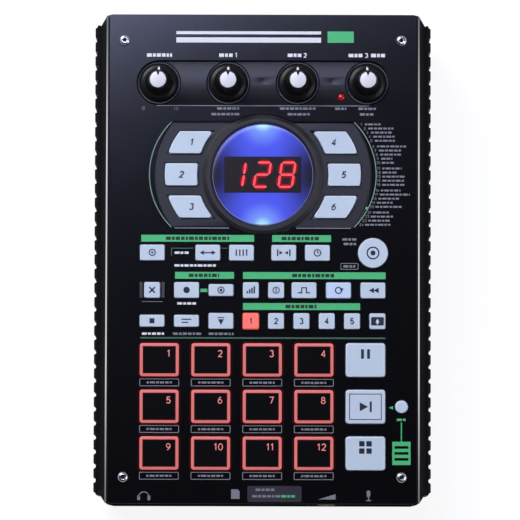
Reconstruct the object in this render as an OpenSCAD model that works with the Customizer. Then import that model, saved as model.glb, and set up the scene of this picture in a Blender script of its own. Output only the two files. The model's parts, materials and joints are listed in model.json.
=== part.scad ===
// Desktop audio sampler: a wedge-shaped case with a sloping control panel, knobs, keys and lit pads.
// Millimetres, +Z up, the front edge towards -Y. The origin is the middle of the base, on the table.
// What sits on the panel is placed in the panel's own frame: X across, Y up the slope, Z out of the panel.

/* [Case] */
// Overall width over the ribbed side grips
body_w = 177.6; // [165:0.1:195]
// Overall depth, front edge to rear edge
body_d = 257.6; // [240:0.1:280]
// Width of the sloping shoulder on each side of the panel
shoulder = 3.4; // [2.5:0.1:5]
// Height of the panel's top surface above the table at mid depth
panel_mid_h = 49.6; // [48.5:0.1:58]
// Slope of the panel in degrees, rising to the rear
panel_tilt = 3.2; // [2:0.1:4]
// Thickness of the lower case's walls
wall = 2.5; // [2:0.1:3.2]
// Thickness of the lower case's floor
floor_t = 2.5; // [2:0.1:3.5]
// Length of the cut across each corner of the case
corner_cut = 3.2; // [2:0.1:6]
// Length of the slanted stretch between a corner and a side
corner_slant = 5.8; // [4:0.1:6]
// Diameter of a rubber foot
foot_d = 15; // [10:0.5:18]
// Height of a rubber foot
foot_h = 4; // [2.5:0.1:5]
// Distance of a foot's middle from the case's sides
foot_inset = 18; // [14:0.5:24]

/* [Side grips] */
// Thickness of a rubber grip
grip_t = 2.8; // [2.2:0.1:3.4]
// Number of ribs on a grip
rib_count = 33; // [20:1:33]
// Distance from rib to rib
rib_pitch = 7.5; // [6:0.1:7.5]
// Radius of the round notch between two ribs
notch_r = 1.3; // [0.8:0.1:1.6]
// Height of a grip's lower edge above the floor's underside
grip_lift = 4; // [2:0.5:8]
// Bevel along a grip's upper edge
grip_bevel = 1.2; // [0.6:0.1:1.6]

/* [Top panel] */
// Thickness of the panel
panel_t = 2.5; // [2:0.1:3]
// Width of the bright bevel along the panel's two sides
edge_bevel = 0.8; // [0.4:0.1:1.2]
// Distance from the panel's side to the block of keys and pads
side_margin = 18.15; // [17.5:0.05:20]
// Distance of a corner screw from the panel's side
screw_side = 9.6; // [8:0.1:10.5]
// Distance of a corner screw from the panel's end
screw_end = 13.8; // [13:0.1:14.5]
// Distance from the panel's top surface down to the circuit board
board_drop = 12; // [11:0.1:13]
// Radial clearance of a screw in its hole
screw_clear = 0.05; // [0.03:0.01:0.2]

/* [Rows] */
// Space behind the knobs' trough. The spaces keep their proportions and fill the depth that the rows leave
space_rear = 24.3; // [21:0.05:26]
// Space between the trough and the display's ring
space_display = 5.05; // [4.6:0.05:6]
// Space between the ring and key row 1
space_row_1 = 5.6; // [5:0.1:7]
// Space between key rows 1 and 2
space_row_2 = 11.5; // [9:0.1:13]
// Space between key rows 2 and 3
space_row_3 = 8; // [7:0.1:9]
// Space between key row 3 and the pads
space_pads = 7.45; // [6:0.05:9]
// Space between pad rows
space_pad_rows = 6.75; // [5:0.05:8]
// Space in front of the pads
space_front = 17.6; // [16:0.05:21]

/* [Knobs] */
// Distance from knob to knob
knob_pitch = 36.6; // [34:0.1:40]
// Diameter of a knob's skirt
knob_d = 18.8; // [16:0.1:21]
// Diameter of a knob's top
knob_top_d = 10.2; // [9.6:0.1:12]
// Height of a knob above the panel
knob_rise = 17; // [12:0.1:20]
// Diameter of the pale cap in a knob's top
knob_cap_d = 8.6; // [7:0.1:8.8]
// Diameter of a potentiometer's shaft
shaft_d = 6; // [5:0.1:6.5]
// Radial clearance of a shaft in its bush
shaft_clear = 0.05; // [0.02:0.01:0.1]
// Length of the trough that the knobs stand in
trough_len = 133.2; // [131:0.1:140]
// Width of the trough
trough_w = 23.7; // [23.2:0.1:26]
// Depth of the trough at its sides
trough_depth = 2.2; // [1.6:0.1:2.4]
// Depth of the trough along its crowned middle
trough_crown = 0.4; // [0.2:0.1:0.8]
// Diameter of the round dish under a knob
dish_d = 22.6; // [22.2:0.1:23]
// Diameter of the peak lamp
lamp_d = 4; // [3:0.1:5]

/* [Display and effect keys] */
// Radius of the lens
lens_r = 26.6; // [26:0.1:27]
// Thickness of the lens
lens_t = 2; // [1.5:0.1:2.2]
// Width of the lens's window
window_w = 40.5; // [36:0.1:41]
// Height of the lens's window
window_h = 19.2; // [16:0.1:20]
// Radius of the ring round the lens
ring_r = 31.6; // [31:0.1:32]
// Height of the ring above the panel
ring_rise = 1.8; // [1:0.1:3]
// Reach of the wings from the display's middle
wing_r = 57.3; // [55:0.1:58]
// Radius of the curve of the wings' outer ends
wing_end_r = 44.8; // [42:0.1:50]
// Height of the wings, front to rear
wing_h = 55.2; // [54:0.1:56]
// Depth of the wings' floor below the panel's surface
wing_drop = 1.5; // [1:0.1:1.8]
// Reach of the effect keys from the display's middle
effect_r_out = 51.6; // [48:0.1:52]
// Radius of the curve of the effect keys' outer ends
effect_end_r = 37; // [35:0.1:42]
// Radius of the effect keys' inner ends
effect_r_in = 34.6; // [34:0.1:37]
// Height of an effect key, front to rear
effect_h = 11.7; // [9:0.1:12.5]
// Distance from one effect key to the next
effect_pitch = 17; // [16.6:0.1:17.2]

/* [Keys] */
// Width of an oblong key
key_w = 12.9; // [11:0.1:14]
// Height of a key, front to rear
key_h = 8.2; // [7:0.1:9]
// Height of a slim key
slim_h = 6.2; // [5.5:0.1:8]
// Width of a square key
square_w = 8.2; // [7:0.1:9]
// Corner radius of a key
key_r = 0.8; // [0.5:0.1:1.2]
// Diameter of the round tap button
tap_d = 15.6; // [12:0.1:16]
// Diameter of the microphone button
mic_d = 6.6; // [5:0.1:7]
// Height of a key above the surface round it
key_rise = 1.6; // [1:0.1:2.5]
// Travel of a key
key_travel = 0.6; // [0.3:0.05:0.8]
// Clearance round a key in its opening
key_clear = 0.35; // [0.3:0.05:0.5]
// Reach of the flange that holds a key under the panel
flange_over = 1; // [0.7:0.1:1.2]
// Thickness of that flange
flange_t = 1.2; // [0.8:0.1:1.4]

/* [Pads] */
// Width of a pad
pad_w = 20.7; // [18:0.1:22]
// Height of a pad, front to rear
pad_h = 17.7; // [15:0.1:19]
// Corner radius of a pad
pad_r = 1.6; // [1:0.1:3]
// Height of a pad's lit frame above the panel
pad_frame_rise = 1.3; // [0.8:0.1:2]
// Width of a pad's lit frame
pad_frame_w = 1.9; // [1:0.1:2.5]
// Height of a pad's middle above the panel
pad_rise = 1.9; // [1.2:0.1:3]
// Travel of a pad
pad_travel = 1.2; // [0.6:0.1:1.5]

/* [Sockets] */
// Depth of the recess for the rear sockets
rear_recess = 10.5; // [10:0.1:12]
// Width of the recess for the rear sockets
rear_recess_w = 140; // [138:0.5:141]
// Depth of the recess for the front sockets
front_recess = 5; // [4.6:0.1:6]
// Width of the recess for the front sockets
front_recess_w = 150; // [146:0.5:152]
// Radius of the bore of a phone jack
jack_r = 3.25; // [3.2:0.01:3.4]
// Depth of the bore of a phone jack
jack_depth = 24; // [20:0.5:28]
// Radius of a line socket's sleeve
line_r = 4.15; // [4:0.01:4.3]
// Length of a line socket's sleeve outside its collar
line_len = 8; // [7:0.1:9]
// Diameter of the input level knob
level_d = 10.4; // [8:0.1:11]
// Travel of the power button
power_travel = 2.5; // [1.5:0.1:3]

/* [Hidden] */
$fn = 64;

// Sizes that nothing else sets
gap = 0.3; // room between a moving piece and what it rests against
press_gap = 0.1; // room left under a key that is fully pressed
pcb_t = 1.6;
solder = 0.05; // height of the joint that holds a component off its board
push_fit = 0.02; // radial room of a piece that is pushed into another
far = 600; // larger than the whole object, for cutting tools
skin = 0.5; // how far one part of a solid reaches into the next, so that they fuse

// Case
case_half = body_w / 2 - grip_t;
panel_half = case_half - shoulder;
half_d = body_d / 2;
grip_end = 6.35; // from the overall end to a grip's end
floor_top = foot_h + floor_t;
inner_front = -(half_d - front_recess - wall);
inner_rear = half_d - rear_recess - wall;
front_lip_h = panel_mid_h - half_d * tan(panel_tilt) - panel_t / cos(panel_tilt);
rear_lip_h = panel_mid_h + half_d * tan(panel_tilt) - panel_t / cos(panel_tilt);
recess_frame = 5; // case left standing above and below a recess
post_r = 4.5;
post_depth = 14;
screw_u = panel_half - screw_side;
screw_v = half_d - screw_end;
post_side = screw_u - post_r; // inner side of a corner post
screw_r = 1.5;
screw_head_r = 2.85;
screw_head_h = 1.7;
screw_key_r = 1.2;

// Rows of the panel from the rear edge to the front edge: knobs, display, three key rows, three pad rows
row_heights = [trough_w, 2 * ring_r, key_h, key_h, key_h, pad_h, pad_h, pad_h];
row_spaces = concat(
  [space_rear, space_display, space_row_1, space_row_2, space_row_3],
  [space_pads, space_pad_rows, space_pad_rows]
);
function sum_of(list, n) = n == 0 ? 0 : list[n - 1] + sum_of(list, n - 1);
row_count = len(row_heights);
spread = (body_d - sum_of(row_heights, row_count)) / (sum_of(row_spaces, row_count) + space_front);
function row_middle(i) =
  half_d - sum_of(row_heights, i) - row_heights[i] / 2 - spread * sum_of(row_spaces, i + 1);
knob_v = row_middle(0);
display_v = row_middle(1);
row_1_v = row_middle(2);
row_2_v = row_middle(3);
row_3_v = row_middle(4);
function pad_row_v(row) = row_middle(5 + row);

// Boards and what holds them
board_screw_r = 1.2;
board_screw_head_r = 2.4;
board_screw_head_h = 1.4;
board_screw_len = 5;
boss_r = 3.2;
boss_u = panel_half - 8.6;
boss_vs = [display_v + 25, row_1_v + 8.3, pad_row_v(0) + 7.6];
panel_board_half = boss_u + boss_r + 0.8;
panel_board_front = pad_row_v(2) - 7.5;
panel_board_rear = knob_v + 12.5;
component_base = -board_drop + solder;
capsule_d = 6;
standoff_h = 6;
socket_board_z = floor_top + standoff_h;
socket_board_top = socket_board_z + pcb_t;
socket_base = socket_board_top + solder;
socket_board_half = post_side - 1.5;
chip = [14, 14, 1.6];
chip_xs = [-24, 24];
standoff_x = socket_board_half - 7;
standoff_ys = [inner_front + 36.3, inner_rear - 25.8];

// Knobs
dish_floor = -(trough_crown + 1.5);
trough_floor_t = 2;
trough_wall = 1.2;
trough_under = -(trough_depth + trough_floor_t);
knob_us = [for (i = [-1.5 : 1.5]) i * knob_pitch];
knob_names = ["volume_knob", "control_knob_1", "control_knob_2", "control_knob_3"];
knob_base = dish_floor + 0.4;
knob_cap_t = 1.2;
knob_notch = [1, 2];
bush_r = shaft_d / 2 + 0.75;
bush_top = knob_base - gap - 0.4;
pot_w = 12;
pot_h = 6;
shaft_bottom = -board_drop + 1.5;
shaft_top = knob_rise - 4;
crown_sag = trough_depth - trough_crown;
crown_r = (pow(trough_w / 2, 2) + pow(crown_sag, 2)) / (2 * crown_sag);
lamp_u = knob_us[2] + 23;
lamp_v = knob_v - 7.4;
dimple_us = [knob_us[2] - knob_pitch / 2, knob_us[2] + knob_pitch / 2];
dimple_v = knob_v + 1;
dimple_r = 5;
dimple_depth = 0.35;

// Effect bezel and lens
bezel_gap = 0.3;
bezel_flange = 2;
bezel_flange_t = 1.5;
lens_gap = 0.25;
lens_top = -0.2;
lens_seat = lens_top - lens_t;
lens_hole_r = lens_r - 2.1;
module_gap = 0.3;

// Keys
block_half = panel_half - side_margin;
pad_pitch_u = (2 * block_half - pad_w) / 4;
oblong_more = 0.1; // what the gap between oblong keys has over the others
key_gap = (2 * block_half - 3 * key_w - 6 * square_w - 2 * oblong_more) / 8; // row 3 fills the block
key_pitch = key_w + key_gap + oblong_more;
square_pitch = square_w + key_gap;
function left_u(i) = -block_half + key_w / 2 + i * key_pitch;
right_u = block_half - key_w / 2;
function square_u(i) = block_half - square_w / 2 - (5 - i) * square_pitch;
gate_gap = 4.1; // between the stereo key and the gate key
gate_u = square_u(1) + square_w / 2 + gate_gap + key_w / 2;
pair_u = 11.1;
pair_pitch = key_w + 4.8;
mic_u = panel_half - 9.6;
mic_v = pad_row_v(1);
grille_v = pad_row_v(2) + 0.1;
grille_slot = [7.2, 1.4];
grille_pitch = 3.1;
guard = [1.5, 8.2, 1.2];
guard_gap = 0.9;
stem_d = 4;
plunger_d = 3.4;
switch_w = 6;
switch_h = 5;
contact_h = 2.4;

// Sockets: places across the case, and heights above the socket board
phones_x = -post_side + 6.5;
card_x = 0;
mic_in_x = post_side - 12.7;
level_x = mic_in_x - 21.8;
inlet_x = post_side - 10.5;
power_x = inlet_x - 19;
control_x = 15;
line_xs = [for (step = [56.5, 42.5, 24, 10]) -post_side + step];
front_axis_z = socket_board_top + 6.4;
rear_axis_z = socket_board_top + 11;
jack_w = 12;
jack_h = 12.6;
jack_nose_r = 4.55;
level_body = [10, 9];
card_slot = [26.4, 3.4];
card_z = socket_board_top + 2.1;
reader_body = [28, 27, 4.2];
reader_cavity = [24.6, 25, 2.5];
level_shaft_r = 2;
level_hole_r = 2.5;
line_body = [12, 11, 17];
line_collar = 0.5;
line_collar_r = line_r + 1;
line_bore_r = 1.7;
line_clear = 0.25;
jack_mouth_r = jack_nose_r + line_clear;
control_body = [18, 12, 19];
control_r = 7.4;
control_face_r = 6.7;
control_rise = 1;
control_sink = 1.2;
control_pin_r = 0.8;
control_pin_ring_r = 3.5;
control_pin_depth = 7;
inlet_body = [10, 13, 16];
inlet_depth = 9;
inlet_r = 2.8;
inlet_pin_r = 1;
inlet_mouth_r = 3.4;
power_body = [12, 12, 16];
power_w = 9;
power_h = 6;
power_rise = 3;
rear_wall_y = half_d - rear_recess;
front_wall_y = -(half_d - front_recess);

// A key is [name, across, up, width, height, shape, travel]
OBLONG = "oblong";
ROUND = "round";
WING = "wing";
PAD = "pad";
LARGE = "large";
function oblong(name, u, v, h = key_h, w = key_w) = [name, u, v, w, h, OBLONG, key_travel];
function pad_u(col) = (col - 2) * pad_pitch_u;
row_1 = [
  oblong("select_key", left_u(0), row_1_v),
  oblong("length_key", -pair_u - pair_pitch, row_1_v),
  oblong("quantize_key", -pair_u, row_1_v),
  oblong("trim_key", pair_u, row_1_v),
  oblong("time_key", pair_u + pair_pitch, row_1_v),
  ["tap_button", right_u, row_1_v, tap_d, tap_d, ROUND, key_travel]
];
row_2 = [
  oblong("delete_key", left_u(0), row_2_v, w = square_w),
  oblong("record_key", left_u(1), row_2_v),
  oblong("resample_key", left_u(2), row_2_v, slim_h),
  oblong("lofi_key", square_u(0), row_2_v, w = square_w),
  oblong("stereo_key", square_u(1), row_2_v, w = square_w),
  oblong("gate_key", gate_u, row_2_v),
  oblong("loop_key", (gate_u + right_u) / 2, row_2_v),
  oblong("reverse_key", right_u, row_2_v)
];
row_3 = concat(
  [
    oblong("cancel_key", left_u(0), row_3_v, slim_h),
    oblong("remain_key", left_u(1), row_3_v, slim_h),
    oblong("mark_key", left_u(2), row_3_v)
  ],
  [for (i = [0 : 4]) oblong(str("bank_key_", i + 1), square_u(i), row_3_v, w = square_w)],
  [oblong("shift_key", square_u(5), row_3_v, w = square_w)]
);
pads = [
  for (row = [0 : 2], col = [0 : 3])
    [str("pad_", row * 4 + col + 1), pad_u(col), pad_row_v(row), pad_w, pad_h, PAD, pad_travel]
];
large_names = ["hold_key", "source_key", "sub_pad_key"];
large_keys = [
  for (row = [0 : 2]) [large_names[row], pad_u(4), pad_row_v(row), pad_w, pad_h, LARGE, pad_travel]
];
mic_button_key = ["mic_button", mic_u, mic_v, mic_d, mic_d, ROUND, key_travel];
// An effect key keeps its side of the display and its row where another key keeps its size
effect_keys = [
  for (side = [-1, 1], row = [1, 0, -1])
    let (n = (side + 1) / 2 * 3 + 2 - row)
    let (r_mid = (effect_r_in + effect_r_out) / 2)
    let (dv = row * effect_pitch)
    let (u = side * sqrt(r_mid * r_mid - dv * dv))
    [str("effect_key_", n), u, display_v + dv, side, row, WING, key_travel]
];
KEYS = concat(effect_keys, row_1, row_2, row_3, pads, large_keys, [mic_button_key]);

// Colours, as the photo shows them
black = "#17181c";
rubber = "#101113";
grey = "#3c3c40";
silver = "#b1bed3";
red = "#f0786e";
blue = "#5867dd";
green = "#1f5a3a";
steel = "#c8c8cc";

// Carries its children into the panel's frame
module on_panel() {
  translate([0, 0, panel_mid_h])
    rotate([panel_tilt, 0, 0])
      children();
}

// Everything under the plane that lies a given drop below the panel's top surface
module below_panel(drop) {
  on_panel()
    translate([-far / 2, -far / 2, -drop - far])
      cube(far);
}

// Everything outside a 45 degree bevel that starts at a given place beside the panel
module bevel_tool(side, half, drop) {
  on_panel()
    translate([side * half, 0, -drop])
      rotate([0, side * 45, 0])
        translate([-far / 2, -far / 2, 0])
          cube(far);
}

module rounded_rect(w, h, r) {
  square([w - 2 * r, h], center = true);
  square([w, h - 2 * r], center = true);
  for (x = [-1, 1], y = [-1, 1])
    translate([x * (w / 2 - r), y * (h / 2 - r)])
      circle(r);
}

module stadium(len, w) {
  square([len - w, w], center = true);
  for (side = [-1, 1])
    translate([side * (len - w) / 2, 0])
      circle(d = w);
}

// Half an outline on the right is given, and mirrored to the left and to the front
module case_outline() {
  right = [
    [panel_half - corner_cut, half_d],
    [panel_half, half_d - corner_cut / 4],
    [case_half, half_d - corner_slant]
  ];
  mirrored_outline(right);
}

module panel_outline() {
  right = [
    [panel_half - corner_cut, half_d],
    [panel_half, half_d - corner_cut / 4]
  ];
  mirrored_outline(right);
}

module mirrored_outline(right) {
  n = len(right);
  polygon(concat(
    right,
    [for (i = [n - 1 : -1 : 0]) [right[i][0], -right[i][1]]],
    [for (p = right) [-p[0], -p[1]]],
    [for (i = [n - 1 : -1 : 0]) [-right[i][0], right[i][1]]]
  ));
}

// The outline of a key, grown all round
module key_outline(k, grow = 0) {
  if (k[5] == WING)
    effect_outline(k[3], k[4], grow);
  else
    translate([k[1], k[2]])
      if (k[5] == ROUND)
        circle(d = k[3] + 2 * grow);
      else
        rounded_rect(k[3] + 2 * grow, k[4] + 2 * grow, max(0.4, corner_of(k) + grow));
}

function corner_of(k) = k[5] == OBLONG ? key_r : pad_r;

// An effect key lies between a circle round the display and the rounder curve of its outer end
module effect_outline(side, row, grow) {
  translate([0, display_v])
    intersection() {
      difference() {
        translate([side * (effect_r_out - effect_end_r), 0])
          circle(effect_end_r + grow);
        circle(effect_r_in - grow);
      }
      translate([side * effect_r_out, row * effect_pitch])
        square([2 * effect_r_out, effect_h + 2 * grow], center = true);
    }
}

// The outline of the bezel: the ring and both wings, grown all round
module bezel_outline(grow = 0) {
  translate([0, display_v]) {
    circle(ring_r + grow);
    intersection() {
      for (side = [-1, 1])
        translate([side * (wing_r - wing_end_r), 0])
          circle(wing_end_r + grow);
      square([2 * wing_r + 2 * grow + 1, wing_h + 2 * grow], center = true);
    }
  }
}

// How far a key's flange lies under the panel's top surface
function deck_under(k) = k[5] == WING ? panel_t + bezel_flange_t : panel_t;
function deck_top(k) = k[5] == WING ? wing_drop : 0;
function is_large(k) = k[5] == PAD || k[5] == LARGE;
function switch_top(k) = -board_drop + (is_large(k) ? contact_h : switch_h);

// A key: its cap, the flange that keeps it under the panel, and the stem over its switch
module key(k) {
  flange_top = -deck_under(k) - gap;
  stem_bottom = switch_top(k) + k[6] + press_gap;
  cap_rise = k[5] == PAD ? pad_frame_rise : is_large(k) ? pad_rise : key_rise - deck_top(k);
  color(k[5] == PAD ? red : silver)
    on_panel() {
      translate([0, 0, flange_top - skin])
        linear_extrude(cap_rise - flange_top + skin)
          key_outline(k);
      if (k[5] == PAD)
        translate([0, 0, flange_top - skin])
          linear_extrude(pad_rise - flange_top + skin)
            key_outline(k, -pad_frame_w);
      translate([0, 0, flange_top - flange_t])
        linear_extrude(flange_t)
          key_outline(k, flange_over);
      translate([k[1], k[2], stem_bottom])
        cylinder(d = stem_d, h = flange_top - stem_bottom);
    }
}

// Lower case: a tub with the floor, side walls, rear wall and posts, then the socket plate and the frame
module lower_case() {
  color(black) {
    front_frame();
    socket_plate();
    difference() {
      union() {
        difference() {
          case_block();
          case_cavity();
        }
        intersection() {
          case_block();
          corner_posts();
        }
        standoffs();
      }
      rear_recess_room();
      in_front_of(inner_front);
      on_panel()
        for (u = [-1, 1], v = [-1, 1])
          translate([u * screw_u, v * screw_v, -panel_t - post_depth])
            cylinder(r = screw_r + screw_clear, h = post_depth + skin);
      for (x = [-1, 1], y = standoff_ys)
        translate([x * standoff_x, y, floor_top + skin])
          cylinder(r = board_screw_r + screw_clear, h = standoff_h);
      rear_openings();
    }
  }
}

// The frame round the front recess: two rails and two cheeks of their own, set against the socket plate
module front_frame() {
  recess_low = floor_top + skin;
  recess_high = front_lip_h - recess_frame;
  recess_side = front_recess_w / 2;
  front_bar(-far / 2, far / 2, -far / 2, recess_low);
  front_bar(-far / 2, far / 2, recess_high, far / 2);
  front_bar(-far / 2, -recess_side, recess_low + push_fit, recess_high - push_fit);
  front_bar(recess_side, far / 2, recess_low + push_fit, recess_high - push_fit);
}

// The case in front of the socket plate, from one side to another and from one height to another
module front_bar(x0, x1, z0, z1) {
  intersection() {
    case_block();
    in_front_of(front_wall_y - push_fit);
    translate([x0, -far / 2, z0])
      cube([x1 - x0, far, z1 - z0]);
  }
}

// The front wall: a plate of its own across the case, open for the jacks, the level knob and the card
module socket_plate() {
  difference() {
    intersection() {
      case_block();
      in_front_of(inner_front - push_fit);
      translate([-far / 2, front_wall_y, -far / 2])
        cube(far);
    }
    front_openings();
  }
}

module in_front_of(y) {
  translate([-far / 2, y - far, -far / 2])
    cube(far);
}

module case_block() {
  difference() {
    intersection() {
      translate([0, 0, foot_h])
        linear_extrude(far)
          case_outline();
      below_panel(panel_t);
    }
    for (side = [-1, 1])
      bevel_tool(side, panel_half, panel_t);
  }
}

// The hollow is narrower near the top, where the side walls carry the panel
module case_cavity() {
  depth = inner_rear - inner_front;
  upper_half = panel_half - wall;
  lower_half = case_half - wall;
  translate([-upper_half, inner_front, floor_top])
    cube([2 * upper_half, depth, far]);
  intersection() {
    translate([-lower_half, inner_front, floor_top])
      cube([2 * lower_half, depth, far]);
    below_panel(panel_t + shoulder + wall);
  }
}

module corner_posts() {
  on_panel()
    for (u = [-1, 1], v = [-1, 1])
      translate([u * screw_u, v * screw_v, -far / 4])
        cylinder(r = post_r, h = far / 4);
}

module standoffs() {
  for (x = [-1, 1], y = standoff_ys)
    translate([x * standoff_x, y, floor_top - skin])
      cylinder(r = boss_r, h = standoff_h + skin);
}

module rear_recess_room() {
  translate([-rear_recess_w / 2, half_d - rear_recess, floor_top + skin])
    cube([rear_recess_w, 2 * rear_recess, rear_lip_h - recess_frame - floor_top - skin]);
}

// A round tool along the depth of the case, through a wall that starts at y
module wall_drill(x, y, z, r) {
  translate([x, y - 1, z])
    rotate([-90, 0, 0])
      cylinder(r = r, h = wall + 2);
}

module front_openings() {
  for (x = [phones_x, mic_in_x])
    wall_drill(x, front_wall_y, front_axis_z, jack_mouth_r);
  wall_drill(level_x, front_wall_y, front_axis_z, level_hole_r);
  translate([card_x - card_slot[0] / 2, front_wall_y - 1, card_z - card_slot[1] / 2])
    cube([card_slot[0], wall + 2, card_slot[1]]);
}

module rear_openings() {
  for (x = line_xs)
    wall_drill(x, inner_rear, rear_axis_z, line_collar_r + line_clear);
  wall_drill(control_x, inner_rear, rear_axis_z, control_r + line_clear);
  wall_drill(inlet_x, inner_rear, rear_axis_z, inlet_mouth_r);
  translate([power_x - power_w / 2 - gap, inner_rear - 1, rear_axis_z - power_h / 2 - gap])
    cube([power_w + 2 * gap, wall + 2, power_h + 2 * gap]);
}

// Top panel: the plate, the crowned trough for the knobs, the openings, and bosses for the board
module top_panel() {
  color(black)
    difference() {
      on_panel()
        difference() {
          union() {
            translate([0, 0, -panel_t])
              linear_extrude(panel_t)
                panel_outline();
            translate([0, knob_v, trough_under])
              linear_extrude(-trough_under - skin)
                stadium(trough_len + 2 * trough_wall, trough_w + 2 * trough_wall);
            delete_guards();
            for (u = [-1, 1], v = boss_vs)
              translate([u * boss_u, v, -board_drop])
                cylinder(r = boss_r, h = board_drop - skin);
          }
          trough_tool();
          panel_openings();
          for (u = [-1, 1], v = boss_vs)
            translate([u * boss_u, v, -board_drop - 1])
              cylinder(r = board_screw_r + screw_clear, h = board_screw_len + 1);
        }
      for (side = [-1, 1])
        bevel_tool(side, panel_half - edge_bevel, 0);
    }
}

// What is taken out for the trough: everything above its crowned floor, and a dish round each knob
module trough_tool() {
  translate([0, knob_v, 0]) {
    difference() {
      translate([0, 0, -trough_depth - trough_floor_t / 4])
        linear_extrude(far)
          stadium(trough_len, trough_w);
      translate([-far / 2, 0, -trough_crown - crown_r])
        rotate([0, 90, 0])
          cylinder(r = crown_r, h = far, $fn = 180);
    }
    for (u = knob_us) {
      translate([u, 0, dish_floor])
        cylinder(d = dish_d, h = far);
      translate([u, 0, -far / 2])
        cylinder(r = bush_r + gap, h = far);
    }
  }
  for (u = dimple_us)
    translate([u, dimple_v, dimple_r - trough_crown - dimple_depth])
      sphere(dimple_r);
  translate([lamp_u, lamp_v, -far / 2])
    cylinder(d = lamp_d + 2 * gap, h = far);
}

module delete_guards() {
  k = row_2[0];
  for (side = [-1, 1])
    translate([k[1] + side * (k[3] / 2 + guard_gap + guard[0] / 2), k[2], guard[2] / 2 - skin / 2])
      cube([guard[0], guard[1], guard[2] + skin], center = true);
}

module panel_openings() {
  translate([0, 0, -far / 2])
    linear_extrude(far) {
      for (k = KEYS)
        if (k[5] != WING)
          key_outline(k, key_clear);
      bezel_outline(bezel_gap);
      for (i = [-1 : 1])
        translate([mic_u, grille_v + i * grille_pitch])
          square(grille_slot, center = true);
      for (u = [-1, 1], v = [-1, 1])
        translate([u * screw_u, v * screw_v])
          circle(screw_r + screw_clear);
    }
}

// Side grips: a rubber strip on each side, notched between its ribs
module side_grips() {
  grip_len = body_d - 2 * grip_end;
  color(rubber)
    for (side = [-1, 1])
      difference() {
        intersection() {
          translate([side * (case_half + grip_t / 2), 0, foot_h + grip_lift + far / 2])
            cube([grip_t, grip_len, far], center = true);
          below_panel(panel_t + shoulder);
        }
        bevel_tool(side, body_w / 2 - grip_bevel, panel_t + shoulder);
        for (i = [1 : rib_count - 1])
          translate([side * body_w / 2, (i - rib_count / 2) * rib_pitch, 0])
            cylinder(r = notch_r, h = far, $fn = 32);
      }
}

// Effect bezel: the ring round the display and the two sunk wings, held by a flange under the panel
module effect_bezel() {
  lens_seat_r = lens_r + lens_gap;
  flange_bottom = -panel_t - bezel_flange_t;
  color(grey)
    on_panel()
      difference() {
        union() {
          translate([0, 0, flange_bottom])
            linear_extrude(-wing_drop - flange_bottom)
              bezel_outline();
          translate([0, 0, flange_bottom])
            linear_extrude(bezel_flange_t)
              bezel_outline(bezel_flange);
          translate([0, display_v, 0])
            rotate_extrude($fn = 128)
              ring_profile();
        }
        translate([0, display_v, lens_seat])
          cylinder(r = lens_seat_r, h = far, $fn = 128);
        translate([0, display_v, -far / 2])
          cylinder(r = lens_hole_r, h = far, $fn = 128);
        translate([0, 0, -far / 2])
          linear_extrude(far)
            for (k = effect_keys)
              key_outline(k, key_clear);
      }
}

module ring_profile() {
  slope = 2;
  crown = 1.8;
  polygon([
    [ring_r, -wing_drop - skin],
    [ring_r, 0],
    [ring_r - slope, ring_rise],
    [ring_r - slope - crown, ring_rise],
    [lens_r - skin, 0],
    [lens_r - skin, -wing_drop - skin]
  ]);
}

module display_lens() {
  color(blue)
    on_panel()
      translate([0, display_v, lens_seat])
        difference() {
          cylinder(r = lens_r, h = lens_t, $fn = 128);
          translate([0, 0, lens_t / 2])
            cube([window_w, window_h, 2 * lens_t], center = true);
        }
}

// Panel board with what is soldered to it
module panel_board() {
  color(green)
    on_panel() {
      difference() {
        translate([-panel_board_half, panel_board_front, -board_drop - pcb_t])
          cube([2 * panel_board_half, panel_board_rear - panel_board_front, pcb_t]);
        for (u = [-1, 1], v = boss_vs)
          translate([u * boss_u, v, -board_drop - 2 * pcb_t])
            cylinder(r = board_screw_r + screw_clear, h = 3 * pcb_t);
      }
      for (k = KEYS)
        switch_under(k);
      for (u = knob_us)
        potentiometer(u);
      display_module();
      peak_lamp();
      translate([mic_u, grille_v, component_base])
        cylinder(d = capsule_d, h = -panel_t - gap - component_base);
    }
}

module switch_under(k) {
  full_h = switch_top(k) - component_base;
  plunger_h = 1;
  translate([k[1], k[2], component_base]) {
    translate([-switch_w / 2, -switch_w / 2, 0])
      cube([switch_w, switch_w, full_h - plunger_h]);
    cylinder(d = plunger_d, h = full_h);
  }
}

// The peak lamp's round top stands just above the trough's floor
module peak_lamp() {
  dome_base = -trough_depth;
  translate([lamp_u, lamp_v, component_base])
    cylinder(d = lamp_d, h = dome_base - component_base);
  translate([lamp_u, lamp_v, dome_base])
    sphere(d = lamp_d);
}

module potentiometer(u) {
  translate([u, knob_v, 0])
    difference() {
      union() {
        translate([-pot_w / 2, -pot_w / 2, component_base])
          cube([pot_w, pot_w, pot_h]);
        translate([0, 0, component_base + skin])
          cylinder(r = bush_r, h = bush_top - component_base - skin);
      }
      translate([0, 0, shaft_bottom - gap])
        cylinder(d = shaft_d + 2 * shaft_clear, h = far);
    }
}

// The display's digit block stands in the lens's window, between two backlight lamps
module display_module() {
  backlight = [4, 3, 3];
  module_top = lens_top - 0.4;
  translate([0, display_v, component_base]) {
    translate([-window_w / 2 + module_gap, -window_h / 2 + module_gap, 0])
      cube([window_w - 2 * module_gap, window_h - 2 * module_gap, module_top - component_base]);
    for (side = [-1, 1])
      translate([-backlight[0] / 2, side * (lens_hole_r - 4) - backlight[1] / 2, 0])
        cube(backlight);
  }
}

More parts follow.
